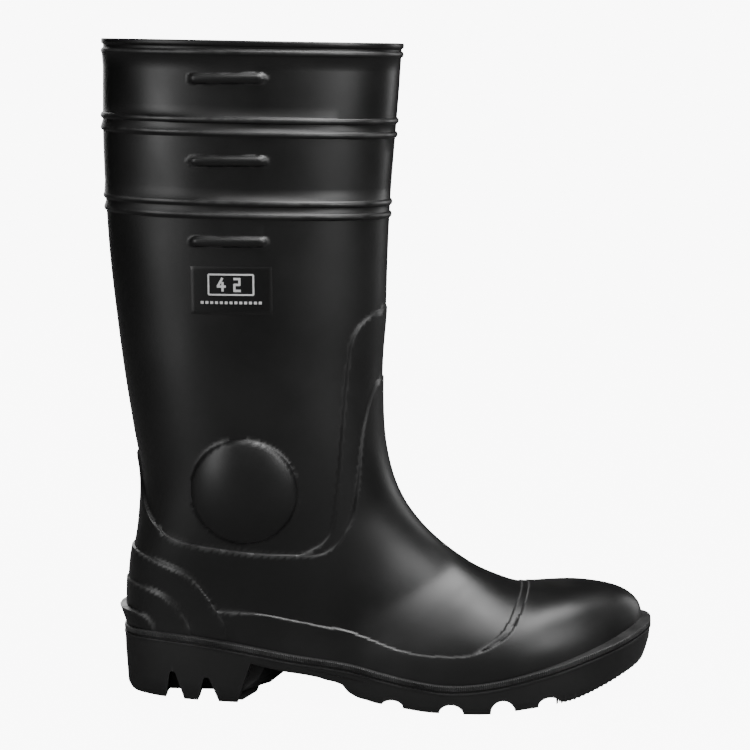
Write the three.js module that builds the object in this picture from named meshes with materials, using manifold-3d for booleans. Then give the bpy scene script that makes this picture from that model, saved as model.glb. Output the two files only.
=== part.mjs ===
// A right safety wellington boot: a moulded leg and foot over a knitted lining, a steel toe cap and a steel
// midsole plate, a cleated sole, and a footbed that lifts out. Millimetres, +Z up, +X towards the toe, -Y on
// the outer side of the foot. The origin is on the ground, under the middle of the boot's box.
import * as THREE from "three";
import { mergeVertices } from "three/addons/utils/BufferGeometryUtils.js";
import Module from "manifold-3d";

const wasm = await Module();
wasm.setup();

// ---- Driving sizes -------------------------------------------------------------------------------------
const bootLength = 312.4; // back of the leg to the toe bumper
const bootHeight = 374.4; // ground to the back of the rim
const legWidth = 94; // outside of the leg at the rim, side to side
const footWidth = 102; // outside of the upper at the ball of the foot
const upperWall = 3; // leg and foot moulding
const liningWall = 1.4; // knitted lining
const capWall = 1.8; // steel toe cap
const plateWall = 0.8; // steel midsole plate
const boardWall = 1.8; // insole board
const foamWall = 4.5; // foam of the footbed
const coverWall = 0.8; // fabric on the foam
const labelWall = 0.5; // label on the leg
const layerGap = 0.3; // clearance between two layers that touch
const footbedPlay = 1.4; // room round the footbed, so that it lifts out
const heelLedge = 2.6; // how far the sole stands out round the heel
const toeLedge = 5.4; // how far it stands out in front of the toe
const liningDrop = 4; // rim to the top of the lining
const capLength = 54; // steel toe cap, front to back
const capFlange = 6; // inward flange under the cap
const stripLength = 9; // soft strip behind the edge of the cap
const plateInset = 3; // bearing left for the upper's edge round the plate
const bead = { height: 1.1, reach: 1.6 }; // rim bead and leg ribs: how proud, and half how tall
const core = { x: -112, length: 46, width: 38, height: 13 }; // light core in the heel
const ankleDisc = { x: -72.9, z: 123.3, radius: 29.5, height: 4.4 };
const gripBar = { x: -79.3, levels: [352.6, 308, 263.8], length: 42, thickness: 6, height: 1.6 };
const label = { x: -78.4, z: 236.8, length: 45.5, height: 27 };
const spur = { top: 49.6, underside: 41, front: -125, slope: 7, reach: 3.8 }; // kick-off ledge round the back of the heel
const cleatGroove = { places: [0, 29, 61, 87], width: 15, depth: 6.5 }; // across the forefoot
const heelNotch = { places: [-131.5, -107], width: 9, depth: 15, inward: 10 }; // into both sides of the heel
const heelGroove = { width: 6, depth: 4 }; // across the heel, between the notches
const insideBlock = { reach: 13, halfWidth: 15, y: 17 }; // the heel runs on under the arch of the foot

// ---- The last: sections fanned from the rim, round the heel, to the toe --------------------------------
// The pattern is drawn at one size and graded: all of it in length, and only the leg in height.
const pattern = { length: 312.4, height: 374.4, ankle: 121 };
const toeX = bootLength / 2;
const gradeX = (x) => (x * bootLength) / pattern.length;
const legGrade = (bootHeight - pattern.ankle) / (pattern.height - pattern.ankle);
const gradeZ = (z) => (z < pattern.ankle ? z : pattern.ankle + (z - pattern.ankle) * legGrade);

const LEG = legWidth / 2;
const FOOT = footWidth / 2;
// Each row: front x and z, back or underside x and z, half width, sideways shift, share of the way back at
// which it is widest, and how square it is towards the front and towards the back (2 is an ellipse).
const stations = [
  [12.4, 371.4, -155, 374.4, LEG, 0, 0.5, 2.15, 2.15],
  [10.7, 345, -155.7, 348, LEG, 0, 0.5, 2.15, 2.15],
  [8.3, 316, -156, 319, LEG * 0.995, 0, 0.5, 2.15, 2.15],
  [5.9, 285, -155.2, 288, LEG * 0.98, 0, 0.5, 2.15, 2.15],
  [4.4, 252, -153.3, 253, LEG * 0.96, 0, 0.5, 2.15, 2.15],
  [3.4, 222, -150, 219, LEG * 0.94, 0, 0.5, 2.15, 2.15],
  [1.2, 194, -146.1, 186, LEG * 0.93, 0, 0.5, 2.1, 2.15],
  [0.8, 168, -141.4, 154, LEG * 0.92, 0, 0.5, 2.1, 2.15],
  [2.2, 146, -137.8, 125, LEG * 0.91, 0, 0.5, 2.05, 2.15],
  [6.6, 126, -139.4, 98, LEG * 0.89, 0, 0.5, 2, 2.2],
  [14.2, 110.4, -143.6, 75, FOOT * 0.79, 0, 0.5, 1.95, 2.25],
  [23.3, 98, -145.2, 54, FOOT * 0.76, 0, 0.5, 1.95, 2.3],
  [32.2, 89, -146, 30, FOOT * 0.74, 0, 0.49, 1.95, 2.35],
  [40.4, 82.4, -145.4, 5, FOOT * 0.735, -0.5, 0.48, 1.95, 2.4],
  [47.5, 77.5, -136, -18, FOOT * 0.745, -1, 0.47, 1.95, 2.5],
  [54.6, 73.2, -108, -28, FOOT * 0.77, -2, 0.45, 1.98, 2.7],
  [61.3, 69.9, -70, -30, FOOT * 0.82, -2.5, 0.44, 2, 2.9],
  [69, 66.9, -25, -30, FOOT * 0.9, -2, 0.43, 2.05, 3],
  [78, 64.4, 20, -30, FOOT * 0.975, -1, 0.43, 2.1, 3],
  [88, 63.2, 58, -30, FOOT, 1, 0.43, 2.2, 3],
  [99, 63.6, 86, -28, FOOT * 0.955, 3, 0.43, 2.3, 3],
  [112, 64.1, 108, -25, FOOT * 0.86, 5, 0.43, 2.3, 3],
  [124, 63.4, 124, -20, FOOT * 0.735, 6.5, 0.43, 2.25, 2.8],
  [134.5, 61.6, 136, -12, FOOT * 0.585, 7.5, 0.44, 2.2, 2.6],
  [142.5, 58.2, 144.5, 0, FOOT * 0.41, 8, 0.45, 2.1, 2.4],
  [147.9, 52.6, 149.2, 16, FOOT * 0.24, 8, 0.48, 2, 2.2],
  [149.9, 46.4, 150.4, 30, FOOT * 0.09, 8, 0.5, 2, 2],
];
const TOE = stations.length - 1;
const SEGMENTS = 12; // steps in half a section
const BEND_WEIGHT = 40; // how much closer the steps of a section stand where it turns sharply

// The station at any place between the drawn ones, by a Catmull-Rom spline through every value.
function stationAt(u) {
  const i = Math.min(Math.floor(u), TOE - 1);
  const t = u - i;
  const row = (k) => stations[THREE.MathUtils.clamp(k, 0, TOE)];
  const [a, b, c, d] = [row(i - 1), row(i), row(i + 1), row(i + 2)];
  return b.map((_, k) => {
    const square = 2 * a[k] - 5 * b[k] + 4 * c[k] - d[k];
    const cube = 3 * (b[k] - c[k]) + d[k] - a[k];
    return b[k] + 0.5 * t * (c[k] - a[k] + t * (square + t * cube));
  });
}

// Points of one half of a section, from its front to its back.
function halfSection(u, side, steps = SEGMENTS) {
  const [frontX, frontZ, backX, backZ, half, shift, belly, frontPower, backPower] = stationAt(u);
  const front = new THREE.Vector3(gradeX(frontX), shift, gradeZ(frontZ));
  const back = new THREE.Vector3(gradeX(backX), shift, gradeZ(backZ));
  const fine = 72;
  const points = Array.from({ length: fine + 1 }, (_, k) => {
    const angle = (Math.PI * k) / fine;
    const power = 2 / (2 * k < fine ? frontPower : backPower);
    const reach = Math.abs(Math.cos(angle)) ** power;
    const point = front.clone().lerp(back, 2 * k < fine ? belly * (1 - reach) : belly + (1 - belly) * reach);
    point.y += side * half * Math.max(Math.sin(angle), 0) ** power;
    return point;
  });
  return spaced(points, steps);
}

// The same polyline in fewer steps, which are shorter where it turns.
function spaced(points, steps) {
  const run = [0];
  for (let k = 1; k < points.length; k++) {
    const leg = points[k].clone().sub(points[k - 1]);
    const before = k > 1 ? points[k - 1].clone().sub(points[k - 2]) : leg;
    run.push(run[k - 1] + leg.length() + BEND_WEIGHT * leg.angleTo(before));
  }
  return Array.from({ length: steps + 1 }, (_, k) => {
    if (k === steps) return points.at(-1).clone();
    const wanted = (run.at(-1) * k) / steps;
    const i = Math.max(run.findIndex((r) => r >= wanted), 1);
    return points[i - 1].clone().lerp(points[i], (wanted - run[i - 1]) / (run[i] - run[i - 1]));
  });
}

// The row at which the front of the leg reaches a pattern height.
function rowAtHeight(z, end = 1) {
  let [low, high] = [0, TOE];
  while (high - low > 1e-5) {
    const middle = (low + high) / 2;
    if (stationAt(middle)[end] > z) low = middle;
    else high = middle;
  }
  return low;
}

const RIM = stations[0][1];
const beadRows = [365.2, 328.5, 320.8, 283.1, 276.1].map((z) => rowAtHeight(z));
const beadReach = rowAtHeight(RIM - bead.reach / legGrade);
const besideBeads = beadRows.flatMap((u) => [u - beadReach, u + beadReach]);
const liningRow = rowAtHeight(RIM - liningDrop / legGrade);
const range = (first, last, step) => Array.from({ length: Math.round((last - first) / step) + 1 }, (_, k) => first + k * step);
const footRows = [...range(4, 8, 1), ...range(8.8, 16, 0.9), ...range(16.8, 20.8, 1), ...range(21.5, 25.5, 0.8), TOE];
const legRows = [0, 1, 2, 3];
const inOrder = (list) => [...new Set(list)].sort((a, b) => a - b);
const outerRows = inOrder([0, beadReach, ...beadRows, ...besideBeads, ...footRows]);
const innerRows = inOrder([...legRows, liningRow, ...footRows]);

// The rings of some rows, each starting at the front and going round by the outer side, with the way out of
// the last at every point.
function ringsOf(rows) {
  const rings = rows.map((u) => [...halfSection(u, -1), ...halfSection(u, 1).reverse().slice(1, -1)]);
  const clamp = (i) => THREE.MathUtils.clamp(i, 0, rings.length - 1);
  return rings.map((ring, i) =>
    ring.map((point, j) => {
      const along = rings[clamp(i + 1)][j].clone().sub(rings[clamp(i - 1)][j]);
      const round = ring[(j + 1) % ring.length].clone().sub(ring.at(j - 1));
      return { point, out: round.cross(along).normalize(), row: rows[i] };
    })
  );
}
const outerRings = ringsOf(outerRows);
const innerRings = ringsOf(innerRows);

// ---- Making solids -------------------------------------------------------------------------------------
// A solid from a closed geometry.
function solidFrom(geometry) {
  const bare = geometry.clone();
  ["normal", "uv"].forEach((name) => bare.deleteAttribute(name));
  const merged = mergeVertices(bare, 1e-4);
  const vertProperties = merged.attributes.position.array;
  return new wasm.Manifold(new wasm.Mesh({ numProp: 3, vertProperties, triVerts: new Uint32Array(merged.index.array) }));
}

// A closed solid through a list of rings that have the same number of points, with a flat fan at each end.
function loft(rings) {
  const count = rings[0].length;
  const centre = (ring) => ring.reduce((sum, p) => sum.add(p), new THREE.Vector3()).divideScalar(count);
  const points = [...rings.flat(), centre(rings[0]), centre(rings.at(-1))];
  const [top, end] = [points.length - 2, points.length - 1];
  const last = (rings.length - 1) * count;
  const faces = [];
  for (let j = 0; j < count; j++) {
    const next = (j + 1) % count;
    for (let i = 0; i < last; i += count) {
      faces.push(i + j, i + next, i + count + j, i + next, i + count + next, i + count + j);
    }
    faces.push(top, next, j, end, last + j, last + next);
  }
  const geometry = new THREE.BufferGeometry().setFromPoints(points);
  geometry.setIndex(faces);
  return solidFrom(geometry);
}

// The last grown by a distance, which may change from point to point. An opened one runs out past the rim.
function grown(distance, { rings = innerRings, firstRow = 0, open = 0 } = {}) {
  const reach = typeof distance === "function" ? distance : () => distance;
  const list = rings
    .filter((ring) => ring[0].row >= firstRow)
    .map((ring) => ring.map((spot) => spot.point.clone().addScaledVector(spot.out, reach(spot))));
  if (open) list.unshift(list[0].map((p) => new THREE.Vector3(p.x, p.y, p.z + open)));
  return loft(list);
}

// A prism across the boot, from a side-view outline of [x, z] points.
function sidePrism(outline, halfWidth = 90, middle = 0) {
  const shape = new THREE.Shape(outline.map(([x, z]) => new THREE.Vector2(x, z)));
  const geometry = new THREE.ExtrudeGeometry(shape, { depth: 2 * halfWidth, bevelEnabled: false });
  geometry.rotateX(Math.PI / 2);
  geometry.translate(0, middle + halfWidth, 0);
  return solidFrom(geometry);
}

const FAR = 500;
const slab = (x0, x1, z0 = -FAR, z1 = FAR) => sidePrism([[x0, z0], [x1, z0], [x1, z1], [x0, z1]]);

// A side-view line through a few points, which are [x, z] pairs of the pattern.
function sideLine(points, steps = 20) {
  const curve = new THREE.SplineCurve(points.map(([x, z]) => new THREE.Vector2(gradeX(x), z)));
  return curve.getPoints(steps).map((p) => [p.x, p.y]);
}

const raised = (line, up) => line.map(([x, z]) => [x, z + up]);

// Everything above a side-view line.
function above(line, up = 0) {
  const level = raised(line, up);
  return sidePrism([[-FAR, level[0][1]], ...level, [FAR, level.at(-1)[1]], [FAR, FAR], [-FAR, FAR]]);
}

// Everything between two heights over a side-view line.
const layer = (line, low, high) => sidePrism([...raised(line, low), ...raised(line, high).reverse()]);

function heightOf(line, x) {
  const i = THREE.MathUtils.clamp(line.findIndex(([at]) => at > x), 1, line.length - 1);
  const [[x0, z0], [x1, z1]] = [line[i - 1], line[i]];
  return z0 + ((z1 - z0) * (x - x0)) / (x1 - x0);
}

// ---- Lines of the foot, in the side view ---------------------------------------------------------------
const seatLine = sideLine([[-172, 30], [-110, 30], [-70, 28], [-35, 21.5], [0, 15.5], [40, 13], [80, 15], [115, 21], [140, 27], [170, 35]]);
const weltLine = sideLine([[-172, 35], [-125, 38], [-100, 37.2], [-70, 33.2], [-35, 27.4], [0, 22.4], [40, 16.2], [66, 18.6], [95, 25.4], [122, 33.4], [142, 40.2], [172, 52]]);
const treadLine = [
  [-FAR, 0],
  [-78, 0],
  ...sideLine([[-67, 22.3], [-51, 19.4], [-36, 18], [-18, 13.4], [-9, 7]], 8),
  ...sideLine([[0, 2.4], [18, 1.4], [36, 0]], 4),
  ...sideLine([[64, 0], [84, 3.2], [112, 8.6], [134, 15.2], [147, 20.4], [153.5, 26.5], [157, 36]], 12),
];

// ---- Plan outline of the upper where a side-view line crosses it ---------------------------------------
function crossing(u, side, line) {
  const points = halfSection(u, side, 48);
  const over = points.map((p) => p.z - heightOf(line, p.x));
  const i = over.findIndex((height, k) => k > 0 && over[k - 1] > 0 && height <= 0);
  return i < 0 ? null : points[i - 1].clone().lerp(points[i], over[i - 1] / (over[i - 1] - over[i]));
}

// A closed outline from the heel along the outer side to the toe and back, moved outwards by a distance
// that may change along the boot.
function planOutline(line, outwards, steps = 22) {
  const first = rowAtHeight(heightOf(line, gradeX(-146)), 3);
  const [, , heelX, heelZ, , heelY] = stationAt(first);
  const turn = (k) => ((1 - Math.cos((Math.PI * k) / steps)) / 2) ** 1.2;
  const rows = range(1, steps - 0.5, 1).map((k) => first + (TOE - first) * turn(k));
  const halfOf = (side) => rows.map((u) => crossing(u, side, line)).filter(Boolean);
  const loop = [new THREE.Vector3(gradeX(heelX), heelY, heelZ), ...halfOf(-1), ...halfOf(1).reverse()];
  const moved = loop.map((p, k) => {
    const along = loop[(k + 1) % loop.length].clone().sub(loop.at(k - 1)).setZ(0).normalize();
    const reach = typeof outwards === "function" ? outwards(p) : outwards;
    return new THREE.Vector3(p.x + along.y * reach, p.y - along.x * reach, p.z);
  });
  return untangled(loop, moved);
}

// The moved points that still run the way the loop does, so that an outline moved inwards never crosses
// itself where it turns tightly.
function untangled(loop, moved) {
  const kept = [0];
  for (let k = 1; k < loop.length; k++) {
    const way = loop[k].clone().sub(loop[kept.at(-1)]).setZ(0).normalize();
    if (moved[k].clone().sub(moved[kept.at(-1)]).dot(way) > layerGap) kept.push(k);
  }
  return kept.map((k) => new THREE.Vector2(moved[k].x, moved[k].y));
}

function planPrism(outline, low = -FAR / 2, high = FAR / 2) {
  const geometry = new THREE.ExtrudeGeometry(new THREE.Shape(outline), { depth: high - low, bevelEnabled: false });
  geometry.translate(0, 0, low);
  return solidFrom(geometry);
}

// ---- Depths of the layers, from the outside of the upper -----------------------------------------------
const capDepth = upperWall + layerGap;
const sockDepth = capDepth + capWall + layerGap; // where the lining passes the cap and its strip
const capBack = gradeX(150) - capDepth - capLength;
const stripBack = capBack - layerGap - stripLength;
// Heights of the layers, over the seat.
const boardTop = layerGap + boardWall;
const sockBottom = boardTop + layerGap;
const sockFloor = sockBottom + liningWall;
const foamBottom = sockFloor + layerGap;
const foamTop = foamBottom + foamWall;
const coverBottom = foamTop + layerGap;
const footbedInset = sockDepth + liningWall + footbedPlay;
const toeSide = slab(capBack, FAR);

// ---- Upper ---------------------------------------------------------------------------------------------
// The side of the last at a place in the side view.
function sideOf(x, z, side) {
  const spots = outerRings.flat().filter(({ point }) => point.y * side > 0);
  const away = ({ point }) => Math.hypot(point.x - x, point.z - z);
  const near = spots.sort((a, b) => away(a) - away(b)).slice(0, 3);
  const weights = near.map((spot) => 1 / (away(spot) + 1e-3));
  return near.reduce((sum, spot, k) => sum + spot.point.y * weights[k], 0) / weights.reduce((a, b) => a + b);
}

// A round pad over the ankle bone, domed a little.
function ankle(side) {
  const { x, z, radius, height } = ankleDisc;
  const dome = range(0, 4, 1).map((k) => {
    const share = k / 4;
    return new THREE.Vector2(radius * Math.cos((share * Math.PI) / 2), height * (0.55 + 0.45 * Math.sin((share * Math.PI) / 2)));
  });
  const depth = -upperWall / 2;
  const profile = [new THREE.Vector2(0, depth), new THREE.Vector2(radius, depth), ...dome];
  profile.at(-1).x = 0;
  const geometry = new THREE.LatheGeometry(profile, 24);
  geometry.rotateX(side > 0 ? 0 : Math.PI);
  geometry.translate(gradeX(x), sideOf(gradeX(x), z, side), z);
  return solidFrom(geometry);
}

// A half-round bar to grip by when the boot is pulled on.
function bar(level, side) {
  const { x, length, thickness, height } = gripBar;
  const z = gradeZ(level);
  const geometry = new THREE.CapsuleGeometry(thickness / 2, length - thickness, 3, 8);
  geometry.rotateZ(Math.PI / 2);
  geometry.scale(1, (2 * height) / thickness, 1);
  geometry.translate(gradeX(x), sideOf(gradeX(x), z, side), z);
  return solidFrom(geometry);
}

// The kick-off ledge, which fades out along the sides of the heel.
function kickOff() {
  const front = gradeX(spur.front);
  const fade = ({ point }) => spur.reach * THREE.MathUtils.smoothstep(-point.x, -front - 8, 143);
  const outline = [
    [-FAR, spur.top],
    [front - 2 * spur.slope, spur.top],
    [front - spur.slope / 2, spur.top - 4],
    [front, heightOf(weltLine, front) + layerGap],
    [front - 2 * spur.slope, spur.underside],
    [-FAR, spur.underside],
  ];
  return grown(fade).intersect(sidePrism(outline));
}

function upperShell() {
  const isBead = new Set([0, ...beadRows]);
  const outside = grown(({ row }) => (isBead.has(row) ? bead.height : 0), { rings: outerRings });
  const sides = [-1, 1];
  const bars = sides.flatMap((side) => gripBar.levels.map((level) => bar(level, side)));
  const extras = [...sides.map(ankle), ...bars, kickOff()];
  const whole = extras.reduce((sum, extra) => sum.add(extra), outside);
  return whole.subtract(grown(-upperWall, { open: 20 })).intersect(above(seatLine, layerGap));
}

function labelPatch() {
  const { x, z, length, height } = label;
  const film = grown(layerGap + labelWall).subtract(grown(layerGap));
  const middle = [gradeX(x), gradeZ(z)];
  const corners = [[-1, -1], [1, -1], [1, 1], [-1, 1]];
  const outline = corners.map(([a, b]) => [middle[0] + (a * length) / 2, middle[1] + (b * height) / 2]);
  return film.intersect(sidePrism(outline, FAR / 2, -FAR / 2));
}

// ---- Inside --------------------------------------------------------------------------------------------
// The lining's outside, or its inside where inwards is its wall: it steps in behind the strip and the cap.
function sockSurface(inwards, open) {
  const step = stripBack - layerGap - inwards;
  const leg = grown(-capDepth - inwards, { firstRow: liningRow, open }).intersect(slab(-FAR, step));
  const toe = grown(-sockDepth - inwards, { firstRow: liningRow, open });
  return leg.add(toe).intersect(above(seatLine, sockBottom + inwards));
}

const liningSock = () => sockSurface(0).subtract(sockSurface(liningWall, 20));

function toeCap() {
  const flangeOpening = planPrism(planOutline(seatLine, -capDepth - capWall - capFlange));
  const inner = grown(-capDepth - capWall).intersect(above(seatLine, layerGap + capWall));
  return grown(-capDepth).intersect(toeSide).intersect(above(seatLine, layerGap)).subtract(inner).subtract(flangeOpening);
}

function capStrip() {
  const band = grown(-capDepth).subtract(grown(-capDepth - capWall));
  return band.intersect(slab(stripBack, capBack - layerGap)).intersect(above(seatLine, sockBottom));
}

function insoleBoard() {
  const board = grown(-capDepth).intersect(layer(seatLine, layerGap, boardTop));
  const tongue = planPrism(planOutline(seatLine, -capDepth - capWall - capFlange - layerGap));
  return board.subtract(slab(capBack - layerGap, FAR).subtract(tongue));
}

const plateOutline = planOutline(seatLine, -upperWall - plateInset);
const midsolePlate = () => planPrism(plateOutline).intersect(layer(seatLine, -plateWall, 0));
const platePocket = () =>
  planPrism(planOutline(seatLine, layerGap - upperWall - plateInset)).intersect(above(seatLine, -plateWall - layerGap));

const footbedOutline = planOutline(raised(seatLine, foamBottom), -footbedInset);
const footbedFoam = () => planPrism(footbedOutline).intersect(layer(seatLine, foamBottom, foamTop));
const footbedCover = () => planPrism(footbedOutline).intersect(layer(seatLine, coverBottom, coverBottom + coverWall));

// The core of the heel, or with a clearance the pocket that it lies in.
function heelCore(clearance = 0) {
  const top = heightOf(seatLine, gradeX(core.x) + core.length / 2) - plateWall - 2 * layerGap;
  const shape = new THREE.Shape();
  const [halfLength, halfWidth] = [core.length / 2 + clearance, core.width / 2 + clearance];
  shape.moveTo(halfLength, -halfWidth);
  shape.lineTo(halfLength, halfWidth);
  shape.lineTo(0, halfWidth);
  shape.absarc(halfWidth - halfLength, 0, halfWidth, Math.PI / 2, (3 * Math.PI) / 2);
  const height = core.height + (clearance ? clearance + 20 : 0);
  const geometry = new THREE.ExtrudeGeometry(shape, { depth: height, bevelEnabled: false, curveSegments: 12 });
  geometry.translate(gradeX(core.x), 0, top - core.height - clearance);
  return solidFrom(geometry);
}

// ---- Sole ----------------------------------------------------------------------------------------------
// An arched groove across the sole, which follows the tread.
function groove(place) {
  const x = gradeX(place);
  const { width, depth } = cleatGroove;
  const floor = heightOf(treadLine, x);
  const arch = range(0, 6, 1).map((k) => {
    const angle = (Math.PI * k) / 6;
    return [x + (width / 2) * Math.cos(angle), floor + depth * (0.25 + 0.75 * Math.sin(angle))];
  });
  return sidePrism([[x - width / 2, -FAR], [x + width / 2, -FAR], ...arch]);
}

// A tapered notch into one side of the heel.
function notch(place, side) {
  const x = gradeX(place);
  const { width, depth, inward } = heelNotch;
  const outline = [[x - width / 2, -1], [x + width / 2, -1], [x + width / 4, depth], [x - width / 4, depth]];
  const edge = FOOT * 0.74 + heelLedge;
  return sidePrism(outline, inward + 5, side * (edge + 5));
}

function outsole() {
  const ledge = (p) => THREE.MathUtils.lerp(heelLedge, toeLedge, THREE.MathUtils.smoothstep(p.x, toeX - 75, toeX - 5));
  const levels = [[-4, -1.6], [12, -0.9], [27, 0], [60, 0]];
  const rings = levels.map(([z, reach]) =>
    planOutline(weltLine, (p) => ledge(p) + reach).map((p) => new THREE.Vector3(p.x, p.y, z))
  );
  const block = loft(rings).intersect(above(treadLine)).subtract(above(weltLine));
  const { reach, halfWidth, y } = insideBlock;
  const breast = gradeX(-78);
  const inside = [[breast - 1, 0], [breast + reach, 0], [breast + reach + 11, 24], [breast - 1, 24]];
  const tray = grown(layerGap).intersect(above(seatLine));
  const heelGrooves = heelNotch.places.map((x) =>
    slab(gradeX(x) - heelGroove.width / 2, gradeX(x) + heelGroove.width / 2, -FAR, heelGroove.depth)
  );
  const notches = heelNotch.places.flatMap((x) => [notch(x, -1), notch(x, 1)]);
  const cuts = [tray, platePocket(), heelCore(layerGap), ...cleatGroove.places.map(groove), ...heelGrooves, ...notches];
  return cuts.reduce((sum, cut) => sum.subtract(cut), block.add(sidePrism(inside, halfWidth, y)));
}

// ---- The boot ------------------------------------------------------------------------------------------
const finishes = {
  leg_black: { color: 0x1d1d1f, roughness: 0.42, metalness: 0 },
  sole_black: { color: 0x232325, roughness: 0.6, metalness: 0 },
  knit_grey: { color: 0xb9bbb8, roughness: 0.95, metalness: 0 },
  steel: { color: 0x9a9ca0, roughness: 0.38, metalness: 1 },
  strip_white: { color: 0xd8d8d2, roughness: 0.7, metalness: 0 },
  board_tan: { color: 0xb08d5e, roughness: 0.85, metalness: 0 },
  core_grey: { color: 0x6f6f6c, roughness: 0.9, metalness: 0 },
  foam_grey: { color: 0x5b5f63, roughness: 0.9, metalness: 0 },
  fabric_dark: { color: 0x2b2d30, roughness: 0.95, metalness: 0 },
  label_black: { color: 0x18181a, roughness: 0.3, metalness: 0 },
};

function meshOf(name, solid, finish) {
  const mesh = solid.getMesh();
  const geometry = new THREE.BufferGeometry();
  geometry.setAttribute("position", new THREE.Float32BufferAttribute(mesh.vertProperties, 3));
  geometry.setIndex(Array.from(mesh.triVerts));
  geometry.computeVertexNormals();
  const part = new THREE.Mesh(geometry, new THREE.MeshStandardMaterial(finishes[finish]));
  part.name = name;
  return part;
}

const boot = new THREE.Group();
boot.add(
  meshOf("upper_shell", upperShell(), "leg_black"),
  meshOf("outsole", outsole(), "sole_black"),
  meshOf("lining_sock", liningSock(), "knit_grey"),
  meshOf("steel_toe_cap", toeCap(), "steel"),
  meshOf("toe_cap_edge_strip", capStrip(), "strip_white"),
  meshOf("steel_midsole", midsolePlate(), "steel"),
  meshOf("insole_board", insoleBoard(), "board_tan"),
  meshOf("heel_core", heelCore(), "core_grey"),
  meshOf("footbed_foam", footbedFoam(), "foam_grey"),
  meshOf("footbed_cover", footbedCover(), "fabric_dark"),
  meshOf("label_patch", labelPatch(), "label_black")
);
const middle = new THREE.Box3().setFromObject(boot).getCenter(new THREE.Vector3());
boot.position.set(-middle.x, -middle.y, 0);

export default boot;
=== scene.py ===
"""A right safety wellington boot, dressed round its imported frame.

The leg and foot are one moulding over a knitted lining, on a cleated sole, with a footbed that lifts out.
The classes hold their sizes in millimetres, in the pattern's own frame: X towards the toe, Y towards the
inner side of the foot, Z up from the ground. They turn them into metres when they make a mesh.
"""

import logging
import math
from dataclasses import dataclass, field
from enum import Enum
from typing import Callable, Iterable, Optional, Sequence

import bpy
import numpy as np
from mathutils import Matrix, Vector


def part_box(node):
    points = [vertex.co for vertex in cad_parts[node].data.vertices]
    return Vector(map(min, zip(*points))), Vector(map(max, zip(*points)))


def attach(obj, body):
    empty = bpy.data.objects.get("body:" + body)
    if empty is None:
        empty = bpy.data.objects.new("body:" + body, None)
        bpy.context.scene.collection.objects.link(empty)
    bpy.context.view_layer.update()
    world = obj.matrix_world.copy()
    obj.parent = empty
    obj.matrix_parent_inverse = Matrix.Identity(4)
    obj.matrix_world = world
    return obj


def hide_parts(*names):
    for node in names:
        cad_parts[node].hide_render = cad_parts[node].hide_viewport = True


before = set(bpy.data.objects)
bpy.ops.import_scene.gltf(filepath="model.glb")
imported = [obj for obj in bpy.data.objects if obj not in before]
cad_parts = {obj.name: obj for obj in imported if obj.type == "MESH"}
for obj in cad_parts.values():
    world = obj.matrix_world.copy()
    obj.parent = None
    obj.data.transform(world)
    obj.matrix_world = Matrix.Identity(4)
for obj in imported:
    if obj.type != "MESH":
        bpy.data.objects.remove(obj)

Array = np.ndarray
Point = tuple[float, float]

LOG = logging.getLogger("boot")
MM = 0.001
PATTERN_TOE = 150.36  # front of the upper in the pattern's frame
PATTERN_SIDES = 0.73  # middle of the upper's width in the pattern's frame


class Side(Enum):
    """The two sides of the boot, and the way of Y on each."""

    OUTER = -1
    INNER = 1


def pattern_origin() -> Array:
    """Where the pattern's origin is in the frame, in millimetres, from the upper's packed box."""
    low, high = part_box("upper_shell")
    return np.array([high.x / MM - PATTERN_TOE, (low.y + high.y) / 2 / MM - PATTERN_SIDES, 0.0])


ORIGIN = pattern_origin()


def smoothstep(value: Array, low: float, high: float) -> Array:
    """A smooth rise from 0 at low to 1 at high."""
    t = np.clip((value - low) / (high - low), 0.0, 1.0)
    return t * t * (3 - 2 * t)


# ---- Lines ---------------------------------------------------------------------------------------------


def blend(a: Array, b: Array, c: Array, d: Array, t: Array) -> Array:
    """The Catmull-Rom curve from b to c, at the shares t of the way."""
    return b + 0.5 * t * (c - a + t * (2 * a - 5 * b + 4 * c - d + t * (3 * (b - c) + d - a)))


def spline(points: Sequence[Sequence[float]], per_span: int = 8) -> Array:
    """A Catmull-Rom curve through points.

    Args:
        points: the points that it passes through.
        per_span: steps between two of them.

    Returns:
        The points of the curve, one row each.
    """
    given = np.array(points, float)
    padded = np.vstack([2 * given[0] - given[1], given, 2 * given[-1] - given[-2]])
    t = np.linspace(0, 1, per_span, endpoint=False)[:, None]
    spans = [blend(a, b, c, d, t) for a, b, c, d in zip(padded, padded[1:], padded[2:], padded[3:])]
    return np.vstack([*spans, given[-1:]])


@dataclass(frozen=True)
class SideLine:
    """A line in the side view that has one height at each X."""

    points: Sequence[Point]
    rise: float = 0.0

    def height(self, x: Array) -> Array:
        """The line's height at each x."""
        curve = spline(self.points)
        return np.interp(x, curve[:, 0], curve[:, 1]) + self.rise

    def raised(self, rise: float) -> "SideLine":
        """The same line, higher by a distance."""
        return SideLine(self.points, self.rise + rise)


SEAT = SideLine(
    [(-172, 30), (-110, 30), (-70, 28), (-35, 21.5), (0, 15.5), (40, 13), (80, 15), (115, 21), (140, 27), (170, 35)]
)
WELT = SideLine(
    [(-172, 35), (-147, 37.3), (-125, 38.4), (-104.8, 37.7), (-86, 35.6), (-70, 33.2), (-44, 29), (-15.4, 25.8),
     (2.9, 22), (20.5, 18.6), (41, 16.4), (64, 18.4), (94.6, 25.3), (122, 33.5), (142, 40.4), (154, 45.4), (172, 53)]
)


# ---- The last ------------------------------------------------------------------------------------------


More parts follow.
